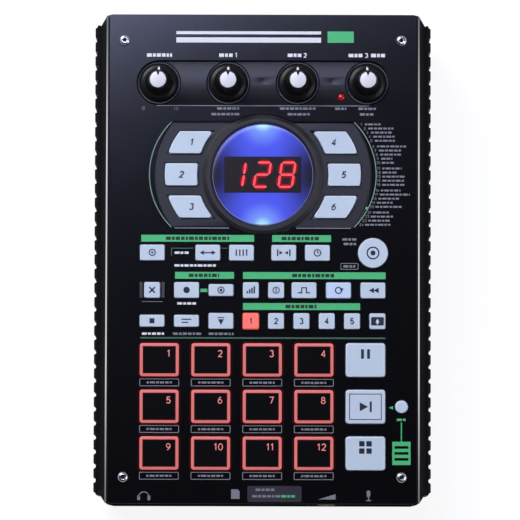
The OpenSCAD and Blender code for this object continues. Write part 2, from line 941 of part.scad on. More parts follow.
// Socket board with the sockets, the jacks, the card reader and the power switch
module socket_board() {
  color(green) {
    difference() {
      translate([-socket_board_half, inner_front + 3, socket_board_z])
        cube([2 * socket_board_half, inner_rear - inner_front - 6, pcb_t]);
      for (x = [-1, 1], y = standoff_ys)
        translate([x * standoff_x, y, socket_board_z - 1])
          cylinder(r = board_screw_r + screw_clear, h = pcb_t + 2);
    }
    for (x = [phones_x, mic_in_x])
      phone_jack(x);
    for (x = line_xs)
      line_socket(x);
    level_potentiometer();
    control_socket();
    power_inlet();
    power_switch();
    card_reader();
    for (x = chip_xs)
      translate([x - chip[0] / 2, 0, socket_base])
        cube(chip);
  }
}

// A phone jack: its body behind the socket plate and its nose through the plate, bored from the front
module phone_jack(x) {
  translate([x, inner_front, 0])
    difference() {
      union() {
        translate([-jack_w / 2, 0, socket_base])
          cube([jack_w, jack_depth, jack_h]);
        translate([0, -wall, front_axis_z])
          rotate([-90, 0, 0])
            cylinder(r = jack_nose_r, h = wall + skin);
      }
      translate([0, -wall - 1, front_axis_z])
        rotate([-90, 0, 0])
          cylinder(r = jack_r, h = jack_depth + 1);
    }
}

// A line socket: its block behind the wall, a collar through the wall, and the bored sleeve
module line_socket(x) {
  collar_end = rear_wall_y + line_collar;
  translate([x, 0, rear_axis_z])
    difference() {
      union() {
        translate([-line_body[0] / 2, inner_rear - line_body[1], socket_base - rear_axis_z])
          cube(line_body);
        translate([0, inner_rear - skin, 0])
          rotate([-90, 0, 0])
            cylinder(r = line_collar_r, h = collar_end - inner_rear + skin);
        translate([0, collar_end - skin, 0])
          rotate([-90, 0, 0])
            cylinder(r = line_r, h = line_len + skin);
      }
      translate([0, inner_rear, 0])
        rotate([-90, 0, 0])
          cylinder(r = line_bore_r, h = far);
    }
}

module level_potentiometer() {
  difference() {
    translate([level_x - level_body[0] / 2, inner_front, socket_base])
      cube([level_body[0], level_body[1], jack_h]);
    translate([level_x, inner_front - 1, front_axis_z])
      rotate([-90, 0, 0])
        cylinder(r = level_shaft_r + shaft_clear, h = level_body[1] - skin);
  }
}

// Round five-way control socket
module control_socket() {
  tip = control_rise + wall;
  translate([control_x, inner_rear, rear_axis_z])
    difference() {
      union() {
        translate([-control_body[0] / 2, -control_body[1], socket_base - rear_axis_z])
          cube(control_body);
        translate([0, -skin, 0])
          rotate([-90, 0, 0])
            cylinder(r = control_r, h = tip + skin);
      }
      translate([0, tip - control_sink, 0])
        rotate([-90, 0, 0])
          cylinder(r = control_face_r, h = far);
      for (angle = [0 : 45 : 180])
        rotate([0, angle, 0])
          translate([control_pin_ring_r, tip - control_pin_depth, 0])
            rotate([-90, 0, 0])
              cylinder(r = control_pin_r, h = far, $fn = 24);
    }
}

module power_inlet() {
  translate([inlet_x, inner_rear, rear_axis_z])
    difference() {
      translate([-inlet_body[0] / 2, -inlet_body[1], socket_base - rear_axis_z])
        cube(inlet_body);
      translate([0, -inlet_depth, 0])
        rotate([-90, 0, 0])
          difference() {
            cylinder(r = inlet_r, h = far);
            translate([0, 0, -1])
              cylinder(r = inlet_pin_r, h = inlet_depth);
          }
    }
}

module power_switch() {
  face = inner_rear - gap - flange_t - power_travel - press_gap;
  translate([power_x - power_body[0] / 2, face - power_body[1], socket_base])
    cube(power_body);
}

module card_reader() {
  difference() {
    translate([card_x - reader_body[0] / 2, inner_front, socket_base])
      cube(reader_body);
    translate([card_x - reader_cavity[0] / 2, inner_front - 1, card_z - reader_cavity[2] / 2])
      cube([reader_cavity[0], reader_cavity[1] + 1, reader_cavity[2]]);
  }
}

// Four panel screws with hexagon sockets, and the screws of both boards
module screws() {
  color(steel) {
    on_panel() {
      for (u = [-1, 1], v = [-1, 1])
        translate([u * screw_u, v * screw_v, 0])
          panel_screw();
      for (u = [-1, 1], v = boss_vs)
        translate([u * boss_u, v, -board_drop - pcb_t])
          board_screw();
    }
    for (x = [-1, 1], y = standoff_ys)
      translate([x * standoff_x, y, socket_board_top])
        mirror([0, 0, 1])
          board_screw();
  }
}

module panel_screw() {
  dome_r = (screw_head_r * screw_head_r + screw_head_h * screw_head_h) / (2 * screw_head_h);
  difference() {
    union() {
      intersection() {
        cylinder(r = screw_head_r, h = screw_head_h);
        translate([0, 0, screw_head_h - dome_r])
          sphere(dome_r + 0.2);
      }
      translate([0, 0, -panel_t - post_depth + 2])
        cylinder(r = screw_r, h = panel_t + post_depth - 2 + skin);
    }
    translate([0, 0, screw_head_h / 3])
      cylinder(r = screw_key_r, h = screw_head_h, $fn = 6);
  }
}

module board_screw() {
  translate([0, 0, -board_screw_head_h])
    cylinder(r = board_screw_head_r, h = board_screw_head_h);
  translate([0, 0, -skin])
    cylinder(r = board_screw_r, h = board_screw_len + skin);
}

module feet() {
  color(rubber)
    for (x = [-1, 1], y = [-1, 1])
      translate([x * (case_half - foot_inset), y * (half_d - foot_inset - corner_slant), 0])
        cylinder(d = foot_d, h = foot_h);
}

// A knob of the trough: skirted body, pale cap and the shaft that it is pushed on
module knob(u) {
  on_panel()
    translate([u, knob_v, 0]) {
      color(black)
        difference() {
          rotate_extrude($fn = 96)
            knob_profile();
          translate([0, 0, shaft_bottom])
            cylinder(d = shaft_d + 2 * push_fit, h = shaft_top - shaft_bottom + push_fit);
          translate([0, 0, knob_rise - knob_cap_t])
            cylinder(d = knob_cap_d, h = knob_cap_t + 1);
        }
      color(silver)
        translate([0, 0, knob_rise - knob_cap_t + push_fit])
          difference() {
            cylinder(d = knob_cap_d - 2 * push_fit, h = knob_cap_t - push_fit);
            translate([-knob_notch[0] / 2, knob_cap_d / 2 - knob_notch[1], -1])
              cube([knob_notch[0], knob_notch[1] + 1, knob_cap_t + 2]);
          }
      color(steel)
        translate([0, 0, shaft_bottom])
          cylinder(d = shaft_d, h = shaft_top - shaft_bottom);
    }
}

module knob_profile() {
  skirt_h = 1.6;
  waist_rise = 4.5;
  waist_r = knob_top_d / 2 + 1.2;
  polygon([
    [0, knob_base],
    [knob_d / 2, knob_base],
    [knob_d / 2, knob_base + skirt_h],
    [waist_r, knob_base + waist_rise],
    [knob_top_d / 2, knob_rise - 0.8],
    [knob_top_d / 2 - 0.5, knob_rise],
    [0, knob_rise]
  ]);
}

// Input level knob in the front recess, with its shaft and a pointer groove
module level_knob() {
  face_y = -half_d + gap;
  back_y = front_wall_y - gap;
  shaft_end = inner_front + level_body[1] - 2;
  groove = [0.8, 0.5];
  color(black)
    translate([level_x, 0, front_axis_z])
      rotate([-90, 0, 0])
        difference() {
          union() {
            translate([0, 0, face_y])
              cylinder(d = level_d, h = back_y - face_y);
            translate([0, 0, back_y - skin])
              cylinder(r = level_shaft_r, h = shaft_end - back_y + skin);
          }
          translate([-groove[0] / 2, -level_d, face_y - 1])
            cube([groove[0], level_d, groove[1] + 1]);
        }
}

module power_button() {
  front = inner_rear - gap - flange_t;
  flange_w = power_w + 2 * flange_over + 2 * gap;
  flange_h = power_h + 2 * flange_over + 2 * gap;
  color(black) {
    translate([power_x - power_w / 2, front, rear_axis_z - power_h / 2])
      cube([power_w, rear_wall_y + power_rise - front, power_h]);
    translate([power_x - flange_w / 2, front, rear_axis_z - flange_h / 2])
      cube([flange_w, flange_t, flange_h]);
  }
}

lower_case();
top_panel();
side_grips();
effect_bezel();
display_lens();
panel_board();
socket_board();
screws();
feet();
for (i = [0 : 3])
  knob(knob_us[i]);
level_knob();
power_button();
for (k = KEYS)
  key(k);
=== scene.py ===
"""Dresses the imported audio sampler: finishes, pieces, printed marks, studio light and camera.

Pieces are drawn in millimetres. What sits on the sloping panel is drawn in the panel's own frame:
x across, y up the slope, z out of the panel. What sits on the case is drawn in the table's frame.
"""

import json
import math

import bmesh
import bpy
from mathutils import Matrix, Vector


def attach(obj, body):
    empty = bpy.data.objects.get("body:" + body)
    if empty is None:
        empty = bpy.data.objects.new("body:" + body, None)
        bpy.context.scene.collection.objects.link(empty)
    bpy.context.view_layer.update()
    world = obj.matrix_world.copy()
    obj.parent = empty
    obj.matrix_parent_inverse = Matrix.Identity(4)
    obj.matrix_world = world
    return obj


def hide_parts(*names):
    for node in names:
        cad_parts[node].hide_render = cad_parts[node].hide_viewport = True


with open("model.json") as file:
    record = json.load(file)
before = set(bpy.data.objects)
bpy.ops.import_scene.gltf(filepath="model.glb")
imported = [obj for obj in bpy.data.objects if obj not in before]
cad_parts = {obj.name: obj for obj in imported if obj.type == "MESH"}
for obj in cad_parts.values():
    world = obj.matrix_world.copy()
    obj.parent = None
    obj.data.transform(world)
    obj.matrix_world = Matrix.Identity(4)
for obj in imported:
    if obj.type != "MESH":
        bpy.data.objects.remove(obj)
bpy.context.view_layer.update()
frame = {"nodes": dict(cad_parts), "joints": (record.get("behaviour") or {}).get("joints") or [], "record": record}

# Frames of the panel and of the table

MM = 0.001
TURN = next(joint for joint in frame["joints"] if joint["name"] == "volume_knob_turn")
TILT = math.atan2(-TURN["axis"][1], TURN["axis"][2])
PANEL_HEIGHT = TURN["pos_m"][2] - TURN["pos_m"][1] * math.tan(TILT)
TABLE = Matrix.Scale(MM, 4)
PANEL = Matrix.Translation((0, 0, PANEL_HEIGHT)) @ Matrix.Rotation(TILT, 4, "X") @ TABLE
PANEL_TURN = PANEL.to_3x3().normalized()


def box_of(points):
    """Lowest and highest corner of the box round some points."""
    return [Vector([pick(point[i] for point in points) for i in range(3)]) for pick in (min, max)]


def span(node, place=PANEL):
    """Lowest and highest corner of a CAD node in a frame, in millimetres."""
    back = place.inverted()
    return box_of([back @ vertex.co for vertex in frame["nodes"][node].data.vertices])


def middle_of(node):
    low, high = span(node)
    return (low.x + high.x) / 2, (low.y + high.y) / 2


# Nodes of finishes and of trees

def set_inputs(tree, node, inputs):
    """Gives a node's inputs their values, or links them to outputs."""
    for name, value in inputs.items():
        if isinstance(value, bpy.types.NodeSocket):
            tree.links.new(value, node.inputs[name])
        else:
            node.inputs[name].default_value = value


def add_node(tree, kind, inputs=None, **settings):
    """Adds a node and gives back its outputs."""
    node = tree.nodes.new(kind)
    for name, value in settings.items():
        setattr(node, name, value)
    set_inputs(tree, node, inputs or {})
    return node.outputs


def maths(tree, operation, *values):
    return add_node(tree, "ShaderNodeMath", dict(enumerate(values)), operation=operation)["Value"]


def fade(tree, value, start, end, low=0.0, high=1.0):
    """A smooth step from one value to another."""
    inputs = {"Value": value, "From Min": start, "From Max": end, "To Min": low, "To Max": high}
    return add_node(tree, "ShaderNodeMapRange", inputs, interpolation_type="SMOOTHSTEP")["Result"]


def mix(tree, factor, first, second):
    """A mix of two colours in linear values."""
    inputs = {"Factor": factor, "A": first, "B": second}
    return add_node(tree, "ShaderNodeMix", inputs, data_type="RGBA")["Result"]


# Finishes

def linear(colour, share=1.0):
    """A colour as it should render, 0 to 255, in the linear values that shaders take."""
    values = [c / 255 for c in colour]
    return [share * (v / 12.92 if v <= 0.04045 else ((v + 0.055) / 1.055) ** 2.4)
            for v in values] + [1]


def new_material(name):
    material = bpy.data.materials.new(name)
    material.use_nodes = True
    return material, material.node_tree, material.node_tree.nodes["Principled BSDF"]


def finish(name, colour, roughness, grain=0.0, grain_mm=0.25, mottle=0.06, metal=0.0, glow=0.0,
           coat=0.0, shine=0.5):
    """A surface with uneven colour and gloss and a fine grain."""
    cloud_scale, uneven, grain_depth, coat_roughness = 90.0, 0.08, 0.04 * MM, 0.12
    material, tree, shader = new_material(name)
    place = add_node(tree, "ShaderNodeTexCoord")["Object"]
    cloud = add_node(tree, "ShaderNodeTexNoise", {
        "Vector": place, "Scale": cloud_scale, "Detail": 6.0})["Fac"]
    tint = mix(tree, cloud, linear(colour, 1 - mottle), linear(colour, 1 + mottle))
    gloss = add_node(tree, "ShaderNodeMapRange", {
        "Value": cloud, "To Min": roughness * (1 - uneven),
        "To Max": roughness * (1 + uneven)})["Result"]
    set_inputs(tree, shader, {
        "Base Color": tint, "Roughness": gloss, "Metallic": metal, "Specular IOR Level": shine,
        "Coat Weight": coat, "Coat Roughness": coat_roughness})
    if grain:
        specks = add_node(tree, "ShaderNodeTexNoise", {
            "Vector": place, "Scale": 1 / (grain_mm * MM), "Detail": 2.0})["Fac"]
        bump = add_node(tree, "ShaderNodeBump", {
            "Height": specks, "Strength": grain, "Distance": grain_depth})["Normal"]
        set_inputs(tree, shader, {"Normal": bump})
    if glow:
        set_inputs(tree, shader, {"Emission Color": tint, "Emission Strength": glow})
    return material


def edge_trim(name, ends, middle, start, end):
    """Bright metal along the panel's sides, with painted shade that makes it duller towards both ends."""
    material = finish(name, middle, 0.3, metal=1.0)
    tree = material.node_tree
    shader = tree.nodes["Principled BSDF"]
    place = add_node(tree, "ShaderNodeTexCoord")["Object"]
    along = add_node(tree, "ShaderNodeSeparateXYZ", {"Vector": place})["Y"]
    end_shade = fade(tree, maths(tree, "ABSOLUTE", along), start * MM, end * MM)
    tint = shader.inputs["Base Color"].links[0].from_socket
    set_inputs(tree, shader, {"Base Color": mix(tree, end_shade, tint, linear(ends))})
    return material


def lit_lens(name, centre):
    """Blue lens, bright at its top and bottom edge and dark at its two sides."""
    glow_height = 27.5
    material, tree, shader = new_material(name)
    place = add_node(tree, "ShaderNodeTexCoord")["Object"]
    centred = add_node(tree, "ShaderNodeMapping", {
        "Vector": place, "Location": [-c for c in centre]})["Vector"]
    axes = add_node(tree, "ShaderNodeSeparateXYZ", {"Vector": centred})
    across, up = (maths(tree, "ABSOLUTE", axes[axis]) for axis in "XY")
    flat = add_node(tree, "ShaderNodeCombineXYZ", {"X": across, "Y": up})["Vector"]
    reach = add_node(tree, "ShaderNodeVectorMath", {0: flat, 1: (0, glow_height * MM, 0)},
                     operation="DISTANCE")["Value"]
    rise = fade(tree, up, 2 * MM, 21 * MM)
    sides = mix(tree, rise, linear((32, 32, 46)), linear((60, 68, 176)))
    middle = mix(tree, rise, linear((74, 84, 232)), linear((82, 96, 250)))
    blue = mix(tree, fade(tree, across, 25 * MM, 5 * MM), sides, middle)
    glow = mix(tree, fade(tree, reach, 14.5 * MM, 3 * MM), blue, linear((126, 160, 255)))
    spot = mix(tree, fade(tree, reach, 6 * MM, 1 * MM), glow, linear((180, 242, 255)))
    set_inputs(tree, shader, {
        "Base Color": linear((18, 18, 40)), "Roughness": 0.14,
        "Emission Color": spot, "Emission Strength": 0.95})
    return material


COAT = finish("satin_coat", (6, 6, 8), 0.17, grain=0.03, grain_mm=0.2)
# Painted shade: dark lines beside the panel's side bevels, and round the wells of the knobs.
PAINTED_SHADE = finish("painted_shadow", (5, 5, 6), 0.6, shine=0.15)
MOULDED = finish("moulded_case", (11, 11, 13), 0.6, grain=0.3, grain_mm=0.45, mottle=0.15,
                 shine=0.09)
# Painted light: the moulded plastic again, lighter and without gloss, for the case's front faces.
FRONT_PAINTED_LIGHTER = finish("moulded_front_painted_lighter", (36, 36, 39), 0.7, grain=0.3, grain_mm=0.45, mottle=0.15,
               shine=0.0)
RUBBER = finish("grip_rubber", (10, 10, 12), 0.6, grain=0.25, grain_mm=0.35, mottle=0.15,
                shine=0.1)
TROUGH = finish("trough_satin", (20, 20, 25), 0.4, grain=0.35, grain_mm=0.4, mottle=0.12)
BEZEL = finish("bezel_satin", (28, 27, 29), 0.42, grain=0.12, grain_mm=0.25)
EDGE = finish("lit_edge", (150, 152, 158), 0.35)
# Bright bevels, with painted shade towards their ends.
BRIGHT = edge_trim("bright_bevel", (120, 121, 126), (218, 219, 222), 50, 135)
GUARD = finish("guard_grey", (58, 58, 62), 0.45, grain=0.1)
SILVER = finish("key_silver", (202, 217, 229), 0.36, grain=0.05, mottle=0.03)
BLUE_SILVER = finish("key_silver_lit", (198, 218, 244), 0.36, grain=0.05, mottle=0.03, glow=0.06)
LIT_RED = finish("key_lit_red", (249, 112, 100), 0.36, grain=0.05, mottle=0.04, glow=0.35)
# Painted highlight on the keys' rounded edges, and the pale print on the shift key.
RIM_HIGHLIGHT_AND_PALE_PRINT = finish("key_rim_highlight_and_pale_print", (222, 234, 246), 0.36, mottle=0.03)
PALE = finish("pale_cap", (236, 237, 240), 0.34, mottle=0.02)
KNOB = finish("knob_black", (10, 10, 12), 0.38, grain=0.05, mottle=0.1, shine=0.34)
# Painted highlight on the chamfered rim round each knob's well.
WELL_RIM_HIGHLIGHT = finish("well_rim_highlight", (84, 84, 92), 0.4)
STEEL = finish("bright_steel", (214, 215, 219), 0.2, metal=1.0)
# Painted shade at the bottom of the screws' hexagon sockets, and the chips' own black.
SHADE_AND_CHIP_BLACK = finish("hollow_shade_and_chip_black", (9, 9, 10), 0.7)
PAD_GLOW = finish("pad_glow", (200, 106, 102), 0.32, mottle=0.08, glow=0.45)
PAD_RUBBER = finish("pad_rubber", (6, 6, 7), 0.5, grain=0.2, grain_mm=0.3, shine=0.07)
PAD_LEAK = finish("pad_light_leak", (82, 6, 9), 0.6, glow=0.5, shine=0.1)
PAD_SPILL = finish("pad_light_spill", (40, 2, 2), 0.6, glow=0.4, shine=0.1)
SMOKE = finish("window_smoke", (36, 29, 30), 0.3, shine=0.2)
# Painted glow round the digits of the display.
EMBER = finish("digit_ember", (140, 9, 11), 0.4, glow=0.5, shine=0.1)
DIGIT = finish("digit_red", (232, 78, 88), 0.4, mottle=0.03, glow=0.6, shine=0.1)
LAMP = finish("lamp_red", (152, 16, 24), 0.1, mottle=0.1, glow=0.22, coat=0.6)
BOARD = finish("board_green", (24, 74, 46), 0.35, mottle=0.12)
SOCKET = finish("socket_black", (20, 20, 22), 0.4, grain=0.1)
GOLD = finish("socket_metal", (214, 205, 176), 0.24, metal=1.0)
RING_RED = finish("socket_ring_red", (176, 34, 34), 0.4)
RING_WHITE = finish("socket_ring_white", (226, 226, 224), 0.4)
GREEN = finish("print_green", (74, 192, 118), 0.5, mottle=0.03)
MUTED = finish("print_green_muted", (58, 100, 78), 0.5)
LEAF = finish("print_green_pale", (122, 154, 138), 0.5)
WHITE = finish("print_white", (232, 234, 237), 0.5, mottle=0.02)
GREY = finish("print_grey", (126, 129, 135), 0.5)
DIM = finish("print_grey_dim", (130, 133, 139), 0.5)
# Painted highlight round the lens's rounded edge.
LENS_RIM_HIGHLIGHT = finish("lens_rim_highlight", (150, 142, 196), 0.3, glow=0.2)
INK = finish("print_dark", (12, 36, 22), 0.5)
NAVY = finish("print_navy", (20, 23, 44), 0.5)
PINK = finish("print_pink", (244, 140, 132), 0.5, glow=0.2)
BADGE = finish("badge_grey", (38, 38, 47), 0.45, grain=0.1)


# Outlines

def arc(cx, cy, rx, ry, start, end, steps=10):
    """Points of an oval's arc, from one angle to another in degrees."""
    angles = [math.radians(start + (end - start) * i / steps) for i in range(steps + 1)]
    return [(cx + rx * math.cos(a), cy + ry * math.sin(a)) for a in angles]


def circle(radius, steps=48, start=0.0):
    return arc(0, 0, radius, radius, start, start + 360, steps)[:-1]


def oval(cx, cy, rx, ry, steps=16):
    """An oval whose last point is its first one."""
    points = arc(cx, cy, rx, ry, 0, 360, steps)
    return points[:-1] + points[:1]


def widened(path, by):
    """A closed path drawn out on every side, or in by a negative length."""
    (cx, rx), (cy, ry) = (((max(v) + min(v)) / 2, (max(v) - min(v)) / 2) for v in zip(*path))
    return [(cx + (x - cx) * (1 + by / rx), cy + (y - cy) * (1 + by / ry)) for x, y in path[:-1]]


def rounded(width, height, radius, inset=0.0, steps=5):
    """A rectangle with round corners, drawn in by the inset."""
    w, h, r = width / 2 - inset, height / 2 - inset, max(radius - inset, 0.05)
    corners = ((w - r, h - r, 0), (r - w, h - r, 90), (r - w, r - h, 180), (w - r, r - h, 270))
    return [point for x, y, start in corners
            for point in arc(x, y, r, r, start, start + 90, steps)]


def thin_frame(width, height, radius, line):
    """The outer and the inner edge of a frame."""
    return rounded(width, height, radius), rounded(width, height, radius, line)


def bar(x0, y0, x1, y1):
    return [(x0, y0), (x1, y0), (x1, y1), (x0, y1)]


def along_sides(corners, steps):
    """Points along the sides of a polygon, as many on each."""
    return [(x0 + (x1 - x0) * i / steps, y0 + (y1 - y0) * i / steps)
            for (x0, y0), (x1, y1) in zip(corners, corners[1:] + corners[:1])
            for i in range(steps)]


def moved(outline, x, y, turn=0.0):
    c, s = math.cos(math.radians(turn)), math.sin(math.radians(turn))
    return [(px * c - py * s + x, px * s + py * c + y) for px, py in outline]


def lifted(outline, height, centre=(0, 0)):
    return [(x + centre[0], y + centre[1], height) for x, y in outline]


def upended(outline, y, x, z, grow=1.0):
    """An outline that faces the front or the rear of the case."""
    return [(x + grow * px, y, z + grow * pz) for px, pz in outline]


def turned(profile, steps=96):
    """Rings of a turned piece, from its radius and height at each level."""
    return [[(r * x, r * y, z) for x, y in circle(1, steps)] for r, z in profile]


def edge_levels(top, radius, steps=4):
    """Inset and height of each level round an upper edge."""
    angles = [math.pi / 2 * i / steps for i in range(steps + 1)]
    return [(radius * (1 - math.cos(a)), top - radius * (1 - math.sin(a))) for a in angles]


# Strokes of each digit, 1 wide and 1.6 high
DIGIT_H = 1.6
SIX_TAIL = [(0.05, 0.52), (0.07, 0.8), (0.2, 1.1), (0.42, 1.36), (0.74, 1.6)]
DIGITS = {
    "0": [oval(0.5, 0.8, 0.5, 0.8)],
    "1": [[(0.05, 1.28), (0.42, 1.6), (0.42, 0)]],
    "2": [arc(0.5, 1.14, 0.44, 0.46, 165, -35, 9) + [(0.06, 0.02), (0.98, 0)]],
    "3": [arc(0.46, 1.2, 0.4, 0.4, 150, -70, 9), arc(0.46, 0.42, 0.48, 0.42, 78, -150, 9)],
    "4": [[(0.74, 0), (0.74, 1.6), (0.05, 0.5)], [(-0.02, 0.46), (1.02, 0.46)]],
    "5": [[(0.92, 1.6), (0.2, 1.58), (0.12, 0.84)] + arc(0.46, 0.5, 0.46, 0.5, 118, -150, 9)],
    "6": [oval(0.5, 0.48, 0.46, 0.48), SIX_TAIL],
    "7": [[(0, 1.6), (0.96, 1.58), (0.34, 0)]],
    "8": [oval(0.5, 1.2, 0.38, 0.4), oval(0.5, 0.4, 0.48, 0.42)],
    "9": [oval(0.5, 1.12, 0.46, 0.48), [(1 - x, DIGIT_H - y) for x, y in SIX_TAIL]],
}


# Shapes and pieces

class Shape:
    """Points in millimetres, and faces with the number of their finish."""

    def __init__(self):
        self.points, self.faces, self.finishes = [], [], []

    def loft(self, rings, finish=0, bands=None, closed=False):
        """Walls from ring to ring, closed up or with a cap at both ends.

        The finish of each band of walls may be given instead of one for all.
        """
        count, first = len(rings[0]), len(self.points)
        levels = len(rings) if closed else len(rings) - 1
        bands = bands or [finish] * levels
        for level in range(levels):
            here, above = first + level * count, first + (level + 1) % len(rings) * count
            for i in range(count):
                after = (i + 1) % count
                self.faces.append([here + i, here + after, above + after, above + i])
            self.finishes += [bands[level]] * count
        self.points += [tuple(point) for ring in rings for point in ring]
        if not closed:
            last = len(self.points) - count
            self.faces.append([first + i for i in reversed(range(count))])
            self.faces.append([last + i for i in range(count)])
            self.finishes += [bands[0], bands[-1]]

    def slab(self, outline, low, high, finish=0):
        """A flat closed plate."""
        self.loft([lifted(outline, low), lifted(outline, high)], finish)

    def band(self, outer, inner, low, high, finish=0):
        """A flat closed frame between two outlines of as many points."""
        corners = ((outer, low), (outer, high), (inner, high), (inner, low))
        self.loft([lifted(outline, height) for outline, height in corners], finish, closed=True)

    def stroke(self, path, width, low, high, finish=0):
        """A line of even width along a path."""
        sides = []
        for i, point in enumerate(path):
            before, after = path[max(i - 1, 0)], path[min(i + 1, len(path) - 1)]
            first, second = Vector(point) - Vector(before), Vector(after) - Vector(point)
            along = (first.normalized() + second.normalized()).normalized()
            sharp = max(along.dot((second if second.length else first).normalized()), 0.5)
            out = Vector((-along.y, along.x)) * (width / 2 / sharp)
            sides.append((Vector(point) + out, Vector(point) - out))
        outline = [tuple(right) for _, right in sides]
        outline += [tuple(left) for left, _ in reversed(sides)]
        self.slab(outline, low, high, finish)

    def number(self, text, height, centre, low, high, finish=0, lean=0.0, weight=0.15):
        """A plain number of even strokes."""
        width, half = weight * height, DIGIT_H / 2
        scale = (height - width) / DIGIT_H
        advances = [0.62 if digit == "1" else 1.0 for digit in text]
        gap = 0.34 + weight
        x = -(sum(advances) + gap * (len(text) - 1)) / 2

        def placed(path):
            return [(centre[0] + scale * (px + x + lean * (py - half)),
                     centre[1] + scale * (py - half)) for px, py in path]

        for digit, advance in zip(text, advances):
            for path in DIGITS[digit]:
                if path[0] == path[-1]:
                    outer, inner = (placed(widened(path, side * weight * half)) for side in (1, -1))
                    self.band(outer, inner, low, high, finish)
                else:
                    self.stroke(placed(path), width, low, high, finish)
            x += advance + gap

    def shift(self, dx, dy):
        self.points = [(x + dx, y + dy, z) for x, y, z in self.points]


def add_object(name, data):
    made = bpy.data.objects.new(name, data)
    bpy.context.scene.collection.objects.link(made)
    return made


def new_mesh(name, points, faces=(), finishes=()):
    mesh = bpy.data.meshes.new(name)
    mesh.from_pydata(points, [], faces)
    for material in finishes:
        mesh.materials.append(material)
    return mesh


def riding(name, mesh, body, stands_for):
    """A mesh as a piece that rides on a body and may stand for CAD nodes."""
    made = add_object(name, mesh)
    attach(made, body)
    if stands_for:
        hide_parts(*stands_for)


def dressed(name, mesh, body, stands_for=(), sharp=38):
    """A piece with its points merged, smooth but for edges above the sharp angle."""
    work = bmesh.new()
    work.from_mesh(mesh)
    bmesh.ops.remove_doubles(work, verts=work.verts, dist=1e-6)
    bmesh.ops.recalc_face_normals(work, faces=work.faces)
    work.to_mesh(mesh)
    work.free()
    mesh.polygons.foreach_set("use_smooth", [True] * len(mesh.polygons))
    mesh.set_sharp_from_angle(angle=math.radians(sharp))
    riding(name, mesh, body, stands_for)


def piece(name, shape, finishes, body, place=PANEL, stands_for=()):
    """Makes a shape a mesh in its place, riding on a body."""
    points = [place @ Vector(point) for point in shape.points]
    mesh = new_mesh(name, points, shape.faces, finishes)
    mesh.polygons.foreach_set("material_index", shape.finishes)
    dressed(name, mesh, body, stands_for)


def merged_node(node):
    """A copy of a CAD node's mesh to work on, with its doubled points merged."""
    work = bmesh.new()
    work.from_mesh(frame["nodes"][node].data)
    bmesh.ops.remove_doubles(work, verts=work.verts, dist=2e-6)
    return work


def worked_mesh(name, work, finishes):
    """The mesh of a worked copy, without the normals of the CAD node."""
    mesh = bpy.data.meshes.new(name)
    work.to_mesh(mesh)
    work.free()
    mesh.attributes.remove(mesh.attributes["custom_normal"])
    for material in finishes:
        mesh.materials.append(material)
    return mesh


def softened(name, node, width, wanted, finishes, choose, place=PANEL):
    """A copy of a CAD node with its wanted edges broken, and a finish chosen for each face."""
    edge_angle, sharp, level = math.radians(50), math.radians(20), 0.9998
    work = merged_node(node)
    back = place.inverted()
    edges = []
    for edge in work.edges:
        if len(edge.link_faces) == 2 and edge.calc_face_angle(0) > edge_angle:
            if wanted(back @ ((edge.verts[0].co + edge.verts[1].co) / 2)):
                edges.append(edge)
    bmesh.ops.bevel(work, geom=edges, offset=width * MM, segments=2, profile=0.5, affect="EDGES")
    turn = back.to_3x3().normalized()
    work.normal_update()
    for face in work.faces:
        normal = turn @ face.normal
        face.material_index = choose(back @ face.calc_center_median(), normal)
        face.smooth = max(abs(value) for value in normal) < level
    mesh = worked_mesh(name, work, finishes)
    mesh.set_sharp_from_angle(angle=sharp)
    riding(name, mesh, "case", [node])


# What repeats

def new_tree(name, sockets):
    """An empty tree for a modifier, and the outputs of its first node."""
    tree = bpy.data.node_groups.new(name, "GeometryNodeTree")
    for title, kind in sockets.items():
        tree.interface.new_socket(title, in_out="INPUT", socket_type="NodeSocket" + kind)
    tree.interface.new_socket("Geometry", in_out="OUTPUT", socket_type="NodeSocketGeometry")
    return tree, add_node(tree, "NodeGroupInput")


def set_on_points(tree, points, pattern):
    """Real meshes of one object on every point."""
    shape = add_node(tree, "GeometryNodeObjectInfo", {"Object": pattern})["Geometry"]
    there = add_node(tree, "GeometryNodeInstanceOnPoints", {"Points": points, "Instance": shape})
    return add_node(tree, "GeometryNodeRealizeInstances",
                    {"Geometry": there["Instances"]})["Geometry"]


def end_tree(tree, geometry, material):
    """Every tree ends in real meshes with their finish."""
    painted = add_node(tree, "GeometryNodeSetMaterial", {
        "Geometry": geometry, "Material": material})["Geometry"]
    add_node(tree, "NodeGroupOutput", {"Geometry": painted})


def make_point_tree():
    """One shape on every point."""
    tree, start = new_tree("set_on_points", {
        "Points": "Geometry", "Shape": "Object", "Finish": "Material"})
    end_tree(tree, set_on_points(tree, start["Points"], start["Shape"]), start["Finish"])
    return tree


def make_rib_tree():
    """A row of ribs along the case whose tops follow the panel's slope."""
    tree, start = new_tree("rib_row", {
        "Shape": "Object", "Count": "Int", "Pitch": "Float", "Slope": "Float",
        "Slope from": "Float", "Finish": "Material"})

    def vector(axis, value):
        return add_node(tree, "ShaderNodeCombineXYZ", {axis: value})["Vector"]

    steps = maths(tree, "SUBTRACT", start["Count"], 1)
    length = maths(tree, "MULTIPLY", steps, start["Pitch"])
    line = add_node(tree, "GeometryNodeMeshLine", {
        "Count": start["Count"], "Offset": vector("Y", start["Pitch"]),
        "Start Location": vector("Y", maths(tree, "MULTIPLY", length, -0.5))})["Mesh"]
    where = add_node(tree, "GeometryNodeInputPosition")["Position"]
    axes = add_node(tree, "ShaderNodeSeparateXYZ", {"Vector": where})
    sloped = add_node(tree, "GeometryNodeSetPosition", {
        "Geometry": set_on_points(tree, line, start["Shape"]),
        "Selection": maths(tree, "GREATER_THAN", axes["Z"], start["Slope from"]),
        "Offset": vector("Z", maths(tree, "MULTIPLY", axes["Y"], start["Slope"]))})["Geometry"]
    end_tree(tree, sloped, start["Finish"])
    return tree


